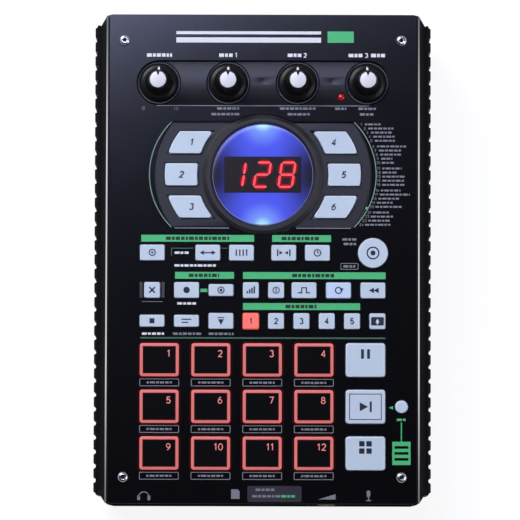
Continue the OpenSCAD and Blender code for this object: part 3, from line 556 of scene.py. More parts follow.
def grown(name, tree, shape, material, points=(), **settings):
    """The mesh that a tree makes of a shape, in metres, from points or from other settings."""
    pattern_mesh = new_mesh("pattern", [TABLE @ Vector(p) for p in shape.points], shape.faces)
    pattern = add_object("pattern", pattern_mesh)
    settings.update({"Shape": pattern, "Finish": material})
    holder = add_object(name, new_mesh(name, [TABLE @ Vector(point) for point in points]))
    grow = holder.modifiers.new("grow", "NODES")
    grow.node_group = tree
    for item in tree.interface.items_tree:
        if item.in_out == "INPUT" and item.name in settings:
            grow[item.identifier] = settings[item.name]
    bpy.context.view_layer.update()
    evaluated = holder.evaluated_get(bpy.context.evaluated_depsgraph_get())
    result = bpy.data.meshes.new_from_object(evaluated)
    result.materials.pop(index=0)  # the bare pattern's empty slot
    bpy.data.objects.remove(holder)
    bpy.data.objects.remove(pattern)
    return result


def repeated(name, shape, points, material, place, stands_for=()):
    """One shape on each of many points of a frame, as a single piece on the case."""
    mesh = grown(name, POINT_TREE, shape, material, points)
    mesh.transform(place @ Matrix.Scale(1 / MM, 4))
    dressed(name, mesh, "case", stands_for)


POINT_TREE = make_point_tree()
RIB_TREE = make_rib_tree()

# Sizes of the solids that the pieces follow

PANEL_T = 2.5
PANEL_HALF = 82.6
HALF_DEPTH = 128.8
CASE_HALF = 86.0
TROUGH_HALF, TROUGH_RADIUS = 54.75, 11.86
FLANGE_OVER, FLANGE_T = 1.0, 1.2
KEY_FLANGE = -PANEL_T - 0.3
WING_FLANGE = KEY_FLANGE - 1.5
STEM_RADIUS = 2
DISPLAY_Y = middle_of("display_lens")[1]
KNOB_NODES = ("volume_knob", "control_knob_1", "control_knob_2", "control_knob_3")
KNOB_Y = middle_of("volume_knob")[1]
PADS = [f"pad_{i + 1}" for i in range(12)]

# A print's height over its surface, and how deep it is let in: on the panel and on a key
PRINT, PRINT_IN, MARK_IN = 0.03, 0.01, 0.02


# Panel, case and bezel

def panel_finish(point, normal):
    """Numbers of the coat, the bright bevels, the trough and the guards by the delete key."""
    coat, bright, trough, guard = range(4)
    bevel = abs(abs(normal.x) - 0.7071) < 0.25 and normal.z > 0.3
    if bevel and abs(point.x) > PANEL_HALF - 1.2:
        return bright
    reach = math.hypot(max(abs(point.x) - TROUGH_HALF, 0), point.y - KNOB_Y)
    if reach < TROUGH_RADIUS and -4.3 < point.z < -0.12:
        return trough
    guard_y = DISPLAY_Y - 61
    if point.z > 0.2 and abs(point.y - guard_y) < 5 and point.x < -50:
        return guard
    return coat


def add_well(shape, x, dark, lit):
    """Painted shade on the floor round a knob, a painted highlight on its rim, and painted shadow where the
    trough's crown ends.
    """
    floor, crown, crown_radius, steps = -1.9, 0.4, 39.9, 96
    floor_out, floor_in, rim_out, rim_in, line_out, line_in = 11.15, 8.6, 10.9, 10.55, 11.72, 11.2
    line_low, line_high = -0.05, PRINT

    def ring(radius):
        return moved(circle(radius, steps), x, KNOB_Y)

    def on_crown(radius, lift):
        base = lift - crown - crown_radius
        return [(x + px, KNOB_Y + py, base + math.sqrt(crown_radius ** 2 - py ** 2))
                for px, py in circle(radius, steps)]

    shape.band(ring(floor_out), ring(floor_in), floor - PRINT_IN, floor + PRINT, dark)
    shape.band(ring(rim_out), ring(rim_in), floor, floor + 2 * PRINT, lit)
    shape.loft([on_crown(line_out, line_low), on_crown(line_out, line_high),
                on_crown(line_in, line_high), on_crown(line_in, line_low)], dark, closed=True)


def make_panel():
    def inside(point):
        return point.z > -0.6 and abs(point.x) < PANEL_HALF - 0.9

    softened("panel_plate", "top_panel", 0.14, inside, [COAT, BRIGHT, TROUGH, GUARD],
             panel_finish)
    dark, edge, rim = range(3)
    low, shade_line_high, line_high = -PRINT_IN, 0.015, 0.02
    shade_line_x, shade_line_half, shade_line_y = PANEL_HALF - 1.35, 0.4, HALF_DEPTH - 1.2
    wing_in, wing_out, wing_y, wing_line = 17.8, 46.4, DISPLAY_Y - 28.05, 0.38
    trough_x, trough_low, trough_high = 56, KNOB_Y - 12.3, KNOB_Y - 11.98
    # Painted shade and painted highlights on the panel: dark lines beside the side bevels, light lines along the
    # lower borders of the wings and the trough, and the wells round the knobs.
    shade_and_highlights = Shape()
    for side in (-1, 1):
        x = side * shade_line_x
        # A line of painted shade beside each side bevel.
        shade_and_highlights.slab(bar(x - shade_line_half, -shade_line_y, x + shade_line_half, shade_line_y), low, shade_line_high, dark)
        # A painted highlight along the lower border of each wing's opening.
        strip = bar(side * wing_in, wing_y - wing_line, side * wing_out, wing_y)
        shade_and_highlights.slab(strip[::side], low, line_high, edge)
    # A painted highlight along the lower border of the trough.
    shade_and_highlights.slab(bar(-trough_x, trough_low, trough_x, trough_high), low, line_high, edge)
    for node in KNOB_NODES:
        add_well(shade_and_highlights, middle_of(node)[0], dark, rim)
    piece("panel_seams", shade_and_highlights, [PAINTED_SHADE, EDGE, WELL_RIM_HIGHLIGHT], "case")


def make_case():
    plate_front, plate_back, cheek, side_wall, rear_wall = -123.8, -121.3, 75.0, 84, 117

    def outside(point):
        at_plate = min(abs(point.y - plate_front), abs(point.y - plate_back)) < 0.1
        at_cheek = plate_front > point.y and cheek + 0.2 < abs(point.x) < side_wall
        at_end = point.y > rear_wall or point.y < plate_front - 0.4
        return (abs(point.x) > side_wall or at_end) and not at_plate and not at_cheek

    def at_front(point, normal):
        return int(point.y < plate_back - 0.1)

    # The case's front faces get the moulded plastic painted lighter and without gloss.
    softened("case_shell", "lower_case", 0.25, outside, [MOULDED, FRONT_PAINTED_LIGHTER], at_front, TABLE)


RIB_PITCH, RIB_COUNT = 7.5, 33


def rib_shape(side):
    """One rib of a grip, with half a round notch on each flank."""
    notch, thick, chamfer, foot = 1.3, 2.8, 1.2, 0.4
    low, top = 8.0, PANEL_HEIGHT / MM - 5.9 / math.cos(TILT)
    outer, start = CASE_HALF + thick, -RIB_PITCH / 2
    plan = [(CASE_HALF, start)]
    for degrees in (180, 160, 140, 120, 104):
        angle = math.radians(degrees)
        plan.append((outer + notch * math.cos(angle), start + notch * math.sin(angle)))
    plan += [(outer - 0.1, start + notch + 0.08), (outer, start + notch + 0.3)]
    plan += [(x, -y) for x, y in reversed(plan)]
    levels = ((low, outer - foot), (low + foot, outer), (top - chamfer, outer),
              (top, outer - chamfer))
    shape = Shape()
    shape.loft([[(side * min(x, limit), y, height) for x, y in plan] for height, limit in levels])
    return shape


def make_grips():
    slope_from = 20
    settings = {"Count": RIB_COUNT, "Pitch": RIB_PITCH * MM, "Slope": math.tan(TILT),
                "Slope from": slope_from * MM}
    work = bmesh.new()
    for side in (-1, 1):
        work.from_mesh(grown("ribs", RIB_TREE, rib_shape(side), RUBBER, **settings))
    joined = bpy.data.meshes.new("grip_ribs")
    work.to_mesh(joined)
    work.free()
    joined.materials.append(RUBBER)
    dressed("grip_ribs", joined, "case", ["side_grips"], sharp=30)


def make_bezel():
    softened("bezel_plate", "effect_bezel", 0.3, lambda point: point.z > -1.8, [BEZEL],
             lambda point, normal: 0)


# Display

def window_ring(steps, width, height):
    """A rectangle's points along the rays of a circle, with its corners kept."""
    points = []
    for x, y in circle(1, steps):
        grow = min(width / 2 / max(abs(x), 1e-6), height / 2 / max(abs(y), 1e-6))
        points.append((x * grow, y * grow))
    for spot in bar(-width / 2, -height / 2, width / 2, height / 2):
        nearest = min(range(steps), key=lambda i: math.dist(points[i], spot))
        points[nearest] = spot
    return points


SEGMENTS = {"1": "bc", "2": "abged", "8": "abcdefg"}


def seven_segments(shape, digit, x, width, height, stroke, low, high, finish):
    """The leaning bars of one digit, with pointed ends."""
    half, gap, lean = stroke / 2, 0.16, 0.15
    top, mid, base = height / 2 - half, 0.0, half - height / 2
    left, right = half - width / 2, width / 2 - half
    ends = {"a": (left, top, right, top), "g": (left, mid, right, mid),
            "d": (left, base, right, base), "f": (left, mid, left, top),
            "b": (right, mid, right, top), "e": (left, base, left, mid),
            "c": (right, base, right, mid)}
    for name in SEGMENTS[digit]:
        x0, y0, x1, y1 = ends[name]
        if y0 == y1:
            tip, end = x0 + gap, x1 - gap
            outline = [(tip, y0), (tip + half, y0 - half), (end - half, y0 - half),
                       (end, y0), (end - half, y0 + half), (tip + half, y0 + half)]
        else:
            tip, end = y0 + gap, y1 - gap
            outline = [(x0, tip), (x0 + half, tip + half), (x0 + half, end - half),
                       (x0, end), (x0 - half, end - half), (x0 - half, tip + half)]
        leaning = [(x + px + lean * py, DISPLAY_Y + py) for px, py in outline]
        shape.slab(leaning, low, high, finish)


def make_display():
    low, high = span("display_lens")
    radius, top, steps, edge, flat = (high.x - low.x) / 2, high.z, 128, 0.35, 3
    window_w, window_h, fit = 40.5, 19.2, 0.2
    window = window_ring(steps, window_w, window_h)
    levels = [(0, low.z), (0, top - edge)] + edge_levels(top, edge) + [(flat, top)]
    rings = [lifted(circle(radius - inset, steps), height) for inset, height in levels]
    rings += [lifted(window, top), lifted(window, low.z)]
    lens = Shape()
    # The lens's rounded edge has a painted highlight.
    lens.loft(rings, closed=True, bands=[0] * 3 + [1] * 3 + [0] * (len(rings) - 6))
    lens.shift(0, DISPLAY_Y)
    lit = lit_lens("lens_blue", PANEL @ Vector((0, DISPLAY_Y, top)))
    piece("lens_disc", lens, [lit, LENS_RIM_HIGHLIGHT], "case", stands_for=["display_lens"])
    smoke, bright, ember = range(3)
    ember_size, bright_size = (10.0, 15.7, 2.9), (8.3, 14.0, 1.15)
    glass = Shape()
    pane = rounded(window_w - fit, window_h - fit, 0.3)
    glass.slab(moved(pane, 0, DISPLAY_Y), -0.58, -0.42, smoke)
    for digit, x in (("1", -13.5), ("2", -0.25), ("8", 12.7)):
        # Wide dim segments under the bright ones: a painted glow round the digits.
        seven_segments(glass, digit, x, *ember_size, -0.43, -0.38, ember)
        seven_segments(glass, digit, x, *bright_size, -0.39, -0.35, bright)
    piece("window_digits", glass, [SMOKE, DIGIT, EMBER], "case")


# Keys and pads

PLAIN_KEY = [SILVER, NAVY, RIM_HIGHLIGHT_AND_PALE_PRINT]


def cap_size(node):
    """Width and height of a key without its flange."""
    low, high = span(node)
    return high.x - low.x - 2 * FLANGE_OVER, high.y - low.y - 2 * FLANGE_OVER


def flange_levels(flange):
    """Inset and height of each level of the flange that holds a key under the panel."""
    return [(-FLANGE_OVER, flange - FLANGE_T), (-FLANGE_OVER, flange), (0, flange)]


def add_stem(shape, node, flange, finish=0):
    spot, heights = middle_of(node), (span(node)[0].z, flange - FLANGE_T + 0.05)
    shape.loft([lifted(circle(STEM_RADIUS, 24), height, spot) for height in heights], finish)


def press_key(node, outline, centre, finishes, flange=KEY_FLANGE, edge=0.4, marks=None):
    """A key: stem, flange and a cap with a rounded edge, and the mark on it."""
    top = span(node)[1].z
    levels = flange_levels(flange) + edge_levels(top, edge) + [(edge + 0.06, top)]
    # The rounded edge of a plain key gets a painted highlight.
    rim = len(finishes) - 1 if finishes[-1] is RIM_HIGHLIGHT_AND_PALE_PRINT else 0
    bands = [0] * 4 + [rim] * (len(levels) - 6) + [0]
    shape = Shape()
    shape.loft([lifted(outline(inset), height, centre) for inset, height in levels], bands=bands)
    add_stem(shape, node, flange)
    if marks:
        marks(shape, middle_of(node), top)
    piece(node + "_cap", shape, finishes, node, stands_for=[node])


def oblong_key(node, marks, finishes=PLAIN_KEY, radius=0.8, edge=0.4):
    size = cap_size(node)
    press_key(node, lambda inset: rounded(*size, radius, inset), middle_of(node), finishes,
              edge=edge, marks=marks)


def round_key(node, marks=None, edge=0.5):
    radius = cap_size(node)[0] / 2
    press_key(node, lambda inset: circle(radius - inset, 64), middle_of(node), PLAIN_KEY,
              edge=edge, marks=marks)


EFFECT_OUT, EFFECT_END, EFFECT_IN, EFFECT_H, EFFECT_PITCH = 51.6, 37.0, 34.6, 11.7, 17.0


def wing_outline(side, row, inset):
    """An effect key between the circle round the display and the curve of its outer end."""
    corner, shift = 1.1, EFFECT_OUT - EFFECT_END
    outer, inner = EFFECT_END - inset, EFFECT_IN + inset
    top = row * EFFECT_PITCH + EFFECT_H / 2 - inset
    base = row * EFFECT_PITCH - EFFECT_H / 2 + inset
    r = max(corner - inset, 0.1)

    def fillet(radius, centre_x, y, start, end):
        """A corner whose middle lies on a circle. An open angle points along its radius."""
        x = math.sqrt(radius ** 2 - y ** 2)
        along = math.degrees(math.atan2(y, x)) + (180 if centre_x == 0 else 0)
        first, last = (along if angle is None else angle for angle in (start, end))
        return arc(centre_x + x, y, r, r, first, last, 5)

    def sweep(radius, centre_x, y0, y1):
        first, last = (math.degrees(math.asin(y / radius)) for y in (y0, y1))
        return arc(centre_x, 0, radius, radius, first, last)[1:-1]

    out_base = fillet(outer - r, shift, base + r, -90, None)
    out_top = fillet(outer - r, shift, top - r, None, 90)
    in_top = fillet(inner + r, 0, top - r, 90, None)
    in_base = fillet(inner + r, 0, base + r, None, 270)
    points = out_base + sweep(outer, shift, out_base[-1][1], out_top[0][1]) + out_top
    points += in_top + sweep(inner, 0, in_top[-1][1], in_base[0][1]) + in_base
    return [(side * x, y) for x, y in points]


# Marks: thin plates on a key's top, in the key's second finish

def mark(*parts, edges=None, pale=()):
    """Parts round the key's middle, a frame between two edges, and pale parts on top of them.

    The pale parts are print, in the finish that also paints the highlight on the key's rim.
    """
    def draw(shape, spot, top):
        low, high = top - MARK_IN, top + PRINT
        if edges:
            shape.band(*(moved(edge, *spot) for edge in edges), low, high, 1)
        for part in parts:
            shape.slab(moved(part, *spot), low, high, 1)
        for part in pale:
            shape.slab(moved(part, *spot), top, top + 2 * PRINT, 2)
    return draw


def ring_mark(outer, inner, *parts):
    return mark(*parts, edges=(circle(outer, 32), circle(inner, 32)))


def number_mark(text, height, lean=0.0):
    def draw(shape, spot, top):
        shape.number(text, height, spot, top - MARK_IN, top + PRINT, 1, lean, weight=0.19)
    return draw


def arrow(x, y, size, turn=0):
    return moved([(size, 0), (-size * 0.7, size * 0.9), (-size * 0.7, -size * 0.9)], x, y, turn)


def upright(x, height, width=0.7, y=0.0):
    return bar(x - width / 2, y - height / 2, x + width / 2, y + height / 2)


KEY_MARKS = {
    "select_key": ring_mark(1.9, 1.3, circle(0.6, 20)),
    "length_key": mark(bar(-2.4, -0.3, 2.4, 0.3), arrow(3.0, 0, 1.3), arrow(-3.0, 0, 1.3, 180)),
    "quantize_key": mark(*(upright(x, 3.4) for x in (-2.7, -0.9, 0.9, 2.7))),
    "trim_key": mark(upright(-3.2, 3.6), upright(3.2, 3.6), arrow(-1.5, 0, 1.1),
                     arrow(1.5, 0, 1.1, 180)),
    "time_key": ring_mark(2.0, 1.4, bar(-0.25, 0, 0.25, 1.2), bar(0, -0.25, 0.9, 0.25)),
    "delete_key": mark(*(moved(bar(-2.1, -0.4, 2.1, 0.4), 0, 0, turn) for turn in (45, -45))),
    "record_key": mark(circle(1.7, 32)),
    "resample_key": ring_mark(1.9, 1.35, circle(0.8, 24)),
    "lofi_key": mark(upright(-1.8, 1.2, 0.8, -1.1), upright(-0.6, 2.2, 0.8, -0.6),
                     upright(0.6, 3.0, 0.8, -0.2), upright(1.8, 3.8, 0.8, 0.2)),
    "stereo_key": ring_mark(1.9, 1.4, upright(0, 2.4, 0.5)),
    "gate_key": mark(bar(-3.2, -1.6, -1.5, -1.0), bar(-1.5, -1.6, -0.9, 1.6),
                     bar(-0.9, 1.0, 0.9, 1.6), bar(0.9, -1.6, 1.5, 1.6),
                     bar(1.5, -1.6, 3.2, -1.0)),
    "loop_key": ring_mark(1.9, 1.3, arrow(1.6, 0.2, 1.2, -90)),
    "reverse_key": mark(arrow(-0.6, 0, 1.6, 180), arrow(1.9, 0, 1.6, 180)),
    "cancel_key": mark(bar(-1.3, -1.3, 1.3, 1.3)),
    "remain_key": mark(bar(-2.6, 0.5, 2.6, 1.1), bar(-2.6, -1.1, 1.0, -0.5)),
    "mark_key": mark(arrow(0, -0.3, 1.8, -90), bar(-1.8, 1.5, 1.8, 2.0)),
    "shift_key": mark(rounded(6.7, 4.4, 0.6),
                      pale=(arrow(0, 0.2, 1.2, 90), bar(-0.4, -1.6, 0.4, -0.5))),
}

# The three large keys beside the pads. Two have their mark above the middle.
RAISED = 3.2
LARGE_MARKS = {
    "hold_key": mark(*(upright(x, 5.0, 1.5, RAISED) for x in (-1.6, 1.6))),
    "source_key": mark(arrow(-1.2, 0, 2.6), bar(2.2, -2.8, 3.3, 2.8),
                       edges=thin_frame(17.0, 13.7, 0.3, 0.4)),
    "sub_pad_key": mark(*(moved(rounded(2.8, 2.8, 0.2), x, y + RAISED)
                          for x in (-1.9, 1.9) for y in (-1.9, 1.9))),
}


def make_keys():
    bank_digit, effect_digit, effect_lean = 3.4, 3.8, 0.2
    for node, marks in KEY_MARKS.items():
        lit = node == "loop_key"
        oblong_key(node, marks, [BLUE_SILVER, NAVY, RIM_HIGHLIGHT_AND_PALE_PRINT] if lit else PLAIN_KEY)
    for i in range(5):
        lit = i == 0
        oblong_key(f"bank_key_{i + 1}", number_mark(str(i + 1), bank_digit),
                   [LIT_RED, NAVY] if lit else PLAIN_KEY)
    round_key("tap_button", ring_mark(3.4, 2.7, circle(1.3, 32)))
    round_key("mic_button", edge=0.7)
    for i in range(6):
        side, row = (-1 if i < 3 else 1), 1 - i % 3
        press_key(f"effect_key_{i + 1}", lambda inset: wing_outline(side, row, inset),
                  (0, DISPLAY_Y), PLAIN_KEY, flange=WING_FLANGE, edge=0.45,
                  marks=number_mark(str(i + 1), effect_digit, effect_lean))
    for node, marks in LARGE_MARKS.items():
        oblong_key(node, marks, radius=1.6, edge=0.6)


def make_pads():
    frame_w, frame_top, frame_edge, glow_w, corner = 1.9, 1.3, 0.5, 1.68, 1.6
    rubber_edge, rubber_flat = 0.35, 0.42
    digit_h, digit_right, pair_right, digit_up = 3.8, 4.9, 4.1, 3.3
    glow, rubber, digits, leak = range(4)
    for i, node in enumerate(PADS):
        size, spot, top = cap_size(node), middle_of(node), span(node)[1].z
        levels = flange_levels(KEY_FLANGE) + edge_levels(frame_top, frame_edge)
        levels += [(glow_w, frame_top)]
        lit = len(levels) - 6
        levels += [(frame_w - 0.02, frame_top)]
        rubber_levels = edge_levels(top, rubber_edge) + [(rubber_flat, top)]
        levels += [(frame_w + inset, height) for inset, height in rubber_levels]
        bands = [leak] * 5 + [glow] * lit + [leak] * 3
        bands += [rubber] * (len(levels) - 1 - len(bands))
        shape = Shape()
        shape.loft([lifted(rounded(*size, corner, inset), height, spot)
                    for inset, height in levels], bands=bands)
        add_stem(shape, node, KEY_FLANGE, rubber)
        text = str(i + 1)
        right = digit_right if len(text) == 1 else pair_right
        shape.number(text, digit_h, (spot[0] + right, spot[1] + digit_up), top - MARK_IN,
                     top + PRINT, digits, weight=0.13)
        piece(node + "_cap", shape, [PAD_GLOW, PAD_RUBBER, PINK, PAD_LEAK], node,
              stands_for=[node])
    width, height = cap_size(PADS[-1])
    spill_out, spill_in = 1.9, 0.95
    spill = Shape()
    spill.band(rounded(width + spill_out, height + spill_out, 2.4),
               rounded(width + spill_in, height + spill_in, 2.0), -PRINT_IN, 0.015)
    places = [(*middle_of(node), 0) for node in PADS]
    repeated("pad_spill", spill, places, PAD_SPILL, PANEL)


# Knobs

KNOB_PROFILE = [
    (2.9, -1.5), (9.1, -1.5), (9.4, -1.3), (9.4, -0.25), (9.3, -0.06), (9.05, 0.04), (8.3, 0.3),
    (7.6, 0.75), (7.0, 1.6), (6.5, 2.5), (6.15, 3.8), (5.9, 5.6), (5.6, 9.0), (5.3, 13.5),
    (5.15, 16.0), (5.0, 16.6), (4.7, 16.95), (4.35, 17.0), (4.3, 15.8), (2.9, 15.8)]


def knob_height(radius):
    """Height of a knob's outer surface at a radius."""
    for (r1, z1), (r0, z0) in zip(KNOB_PROFILE[3:], KNOB_PROFILE[4:]):
        if r0 <= radius <= r1:
            return z1 + (z0 - z1) * (r1 - radius) / max(r1 - r0, 1e-6)
    return 0.0


def make_knobs():
    body, pale, steel = range(3)
    cap_radius, cap_low, cap_edge, cap_top = 4.22, 15.82, 16.85, 17.0
    notch_half, notch_start, notch_end = 0.9, 4.12, 2.25
    shaft_radius, shaft_top, tick_y = 2.85, 13, 7.35
    cap = [(x, y) for x, y in circle(cap_radius, 96, 93) if abs(x) >= notch_half or y <= 0]
    cap += [(notch_half, notch_start), (0.15, notch_end), (-0.15, notch_end),
            (-notch_half, notch_start)]
    cap_levels = ((1, cap_low), (1, cap_edge), (0.95, cap_top))
    tick = moved(rounded(1.1, 2.1, 0.5, steps=4), 0, tick_y)
    for node in KNOB_NODES:
        shape = Shape()
        shape.loft(turned(KNOB_PROFILE), body, closed=True)
        shape.loft([[(x * grow, y * grow, z) for x, y in cap] for grow, z in cap_levels], pale)
        shape.loft([[(x, y, knob_height(math.hypot(x, y)) + rise) for x, y in tick]
                    for rise in (-0.15, 0.06)], pale)
        shaft = [(shaft_radius, span(node)[0].z), (shaft_radius, shaft_top)]
        shape.loft(turned(shaft, 32), steel)
        shape.shift(*middle_of(node))
        piece(node + "_body", shape, [KNOB, PALE, STEEL], node, stands_for=[node])


def make_level_knob():
    low, high = span("level_knob", TABLE)
    x, z, radius = (low.x + high.x) / 2, (low.z + high.z) / 2, (high.x - low.x) / 2
    ribs, rib_depth, shaft_radius = 30, 0.25, 1.95
    ribbed = []
    for i, (px, pz) in enumerate(circle(1, 2 * ribs)):
        reach = radius - rib_depth * (i % 2)
        ribbed.append((reach * px, reach * pz))
    shape = Shape()
    levels = ((0.86, 0), (0.95, 0.15), (1.0, 0.6), (1.0, 4.4))
    shape.loft([upended(ribbed, low.y + depth, x, z, grow) for grow, depth in levels])
    shape.loft([upended(circle(shaft_radius, 32), y, x, z) for y in (low.y + 4.3, high.y)])
    pointer = bar(-0.4, 1.0, 0.4, 4.2)
    shape.loft([upended(pointer, low.y + depth, x, z) for depth in (0.1, -0.03)], 1)
    piece("level_knob_body", shape, [KNOB, PALE], "level_knob", TABLE, ["level_knob"])


# Lamp, screws, feet and sockets

def make_lamp():
    x, y, radius, foot, rim = 41.3, KNOB_Y - 7.4, 2.12, -3.0, -2.2
    dome = Shape()
    profile = [(radius, foot), (radius, rim)] + arc(0, rim, radius, radius, 10, 80, 7)
    dome.loft(turned(profile, 40))
    dome.shift(x, y)
    piece("peak_lamp_dome", dome, [LAMP], "case")


def screw_head():
    """A button head with a hexagon socket."""
    hexagon = along_sides(circle(1.2, 6), 8)
    rings = turned([(1.5, -14.5), (1.5, -0.02), (2.85, -0.02), (2.85, 0.35), (2.72, 0.75),
                    (2.4, 1.2), (2.0, 1.5), (1.6, 1.66), (1.42, 1.7)], len(hexagon))
    shape = Shape()
    shape.loft(rings + [lifted(hexagon, 1.62), lifted(hexagon, 0.55)])
    return shape


def make_screws():
    corner_x, corner_y, steps = 73, 115, 24
    boss_x, boss_rows, boss_z = 74, (25, -33, -90), -13.6
    post_x, post_rows, post_z = 60, (-85, 90), 14.1
    corners = [(x, y, 0) for x in (-corner_x, corner_x) for y in (-corner_y, corner_y)]
    repeated("panel_screws", screw_head(), corners, STEEL, PANEL, ["screws"])
    # Painted shade: a dark plate at the bottom of each screw's hexagon socket.
    plug = Shape()
    plug.slab(circle(1.15, 6), 0.5, 0.62)
    repeated("screw_sockets", plug, corners, SHADE_AND_CHIP_BLACK, PANEL)
    profile = [(1.2, 5), (1.2, 0), (2.4, 0), (2.4, -0.9), (2.1, -1.3), (1.4, -1.4)]
    hanging, standing = Shape(), Shape()
    hanging.loft(turned(profile, steps))
    bosses = [(x, DISPLAY_Y + y, boss_z) for x in (-boss_x, boss_x) for y in boss_rows]
    repeated("panel_board_screws", hanging, bosses, STEEL, PANEL)
    standing.loft(turned([(r, -z) for r, z in profile], steps))
    posts = [(x, y, post_z) for x in (-post_x, post_x) for y in post_rows]
    repeated("socket_board_screws", standing, posts, STEEL, TABLE)


def make_feet():
    foot_x, foot_y = 68, 105
    foot = Shape()
    foot.loft(turned([(5.0, 0.5), (5.2, 0.12), (5.5, 0.0), (7.0, 0.0), (7.4, 0.3), (7.5, 0.8),
                      (7.5, 4.0)], 48))
    points = [(x, y, 0) for x in (-foot_x, foot_x) for y in (-foot_y, foot_y)]
    repeated("rubber_feet", foot, points, RUBBER, TABLE, ["feet"])


def island_faces(work):
    """Groups of faces that hang together."""
    left, groups = set(work.faces), []
    while left:
        stack, group = [left.pop()], []
        while stack:
            face = stack.pop()
            group.append(face)
            for edge in face.edges:
                for other in edge.link_faces:
                    if other in left:
                        left.remove(other)
                        stack.append(other)
        groups.append(group)
    return groups


def make_sockets():
    board, black, gold, steel, chip = range(5)
    thin, board_width, line_reach, line_shell = 2, 60, 125, 115.9
    control_reach, control_shell = (119, 119.6), 117
    work = merged_node("socket_board")
    for group in island_faces(work):
        low, high = box_of([vert.co / MM for face in group for vert in face.verts])
        is_flat, is_wide = high.z - low.z < thin, high.x - low.x > board_width
        is_control = control_reach[0] < high.y < control_reach[1]
        for face in group:
            behind = face.calc_center_median().y / MM
            face.material_index = black
            if is_flat and is_wide:
                face.material_index = board
            elif high.y > line_reach and behind > line_shell:
                face.material_index = gold
            elif is_control and behind > control_shell:
                face.material_index = steel if abs(face.normal.y) < 0.5 else black
            elif is_flat:
                face.material_index = chip
    mesh = worked_mesh("socket_parts", work, (BOARD, SOCKET, GOLD, STEEL, SHADE_AND_CHIP_BLACK))
    dressed("socket_parts", mesh, "case", ["socket_board"])
    places = {mount["name"]: mount["pos_m"][0] / MM for mount in frame["record"]["mounts"]}

    def add_ring(shape, profile, name, z, steps, finish=0):
        rings = [upended(circle(radius, steps), y, places[name], z) for radius, y in profile]
        shape.loft(rings, finish, closed=True)

    line_z, jack_z = 25.1, 20.5
    rings, collars = Shape(), Shape()
    ring_profile = [(1.72, 126.6), (3.3, 126.6), (3.3, 126.9), (1.72, 126.9)]
    for i in range(4):
        add_ring(rings, ring_profile, f"line_socket_{i + 1}", line_z, 40, i % 2)
    piece("line_socket_rings", rings, [RING_WHITE, RING_RED], "case", TABLE)
    collar_profile = [(3.3, -123.6), (4.75, -123.6), (4.75, -124.2), (4.5, -124.5), (3.6, -124.5),
                      (3.3, -124.2)]
    for name in ("phones_jack", "microphone_jack"):
        add_ring(collars, collar_profile, name, jack_z, 48)
    piece("jack_collars", collars, [STEEL], "case", TABLE)


def make_power_button():
    low, high = span("power_button", TABLE)
    x, z = (low.x + high.x) / 2, (low.z + high.z) / 2
    wide, tall, collar, over, corner = high.x - low.x, high.z - low.z, low.y + 1.2, 2.6, 0.8
    levels = ((0, low.y), (0, collar), (over, collar), (over, high.y - 0.5),
              (over + 0.3, high.y - 0.15), (over + 1.0, high.y))
    shape = Shape()
    shape.loft([upended(rounded(wide - less, tall - less, corner), y, x, z) for less, y in levels])
    piece("power_button_cap", shape, [KNOB], "power_button", TABLE, ["power_button"])


def make_board():
    board = frame["nodes"]["panel_board"]
    for slot in board.material_slots:
        slot.material = BOARD


# Printed marks on the panel, drawn with the middle of the display at this height
PRINT_MIDDLE = 45

# Bars: left, base, right and top
PRINT_BARS = {
    "green": [(-63.9, 9.5, -4.5, 13.1), (5.0, 9.5, 36.0, 13.1), (-46, -10.0, -15, -6.4),
              (-10.3, -10.0, 64.7, -6.4), (-10.3, -26.3, 51.3, -22.7),
              (-32.7, -17.0, -29.0, -15.2), (34.0, 114.8, 47.8, 120.8),
              (72.7, -95.4, 73.3, -85.2)],
    "muted": [(-64.2, -41.5, 64.7, -40.7), (-48.1, 2.1, -47.7, 6.3), (-47.7, 5.9, -36.4, 6.3),
              (-21.7, 5.9, -18.5, 6.3)],
    "white": [(-45.8, 114.8, 30.6, 117.5), (-45.8, 119.2, 30.6, 120.8)],
    "grey": [(55.5, -126.0, 56.1, -124.2), (54.4, -126.4, 57.2, -125.9)],
    "dim": [(-63.5, -22.2, -52.5, -21.9)],
}

# Short dashes stand where labels would be: from, to and height on the panel
KNOB_LABEL_Y = 108.1
KNOB_DASHES = [(-61.3, -48.0), (-23.2, -16.0), (13.0, 20.2), (45.1, 52.4), (57.0, 64.3)]
LABEL_DASHES = {
    "grey": [(-24.1, -12.1, 79.9), (-27.2, -12.1, 76.9), (8.9, 27.7, 79.9), (13.0, 25.0, 76.9),
             (38.0, 43.9, 79.9), (50.3, 59.5, 79.9), (51.1, 58.2, 76.9), (-47.0, -32.0, -38.9),
             (-28.2, -15.1, -38.9), (41.9, 50.3, 10.9), (42.6, 49.2, 8.5), (42.5, 48.7, -3.3),
             (-3.4, 6.8, -120.6), (-5.2, 9.5, -124.0)],
    "ink": [(-50.9, -17.6, 11.3), (10.0, 30.1, 11.3), (-38.8, -22.8, -8.2), (15.6, 38.6, -8.2),
            (12.1, 28.4, -24.5)],
    "white": [(-46.3, -38.2, 3.7), (-46.3, -24.6, -3.0), (-44.8, -34.0, -23.0),
              (-63.3, -51.7, -38.9)],
    "green": [(70.6, 75.8, -83.8), (10.1, 17.2, -124.0)],
}

# The list beside the right arc: where each line starts, and its length
LIST_STARTS = [51.9, 53.6, 55.0, 56.2, 57.1, 58.2, 59.2, 60.0, 60.5, 60.8, 61.0, 61.1, 61.1, 61.1,
               61.0, 60.3, 59.7, 59.0, 58.2, 57.4, 56.2, 55.0, 53.6, 52.0]
LIST_LENGTHS = [8, 13, 10.5, 11, 10.2, 15, 11.5, 10.5, 5.5, 6, 10, 7.5, 12, 11, 11.5, 10, 15.5,
                10.5, 8, 13.5, 8, 12, 11, 13]


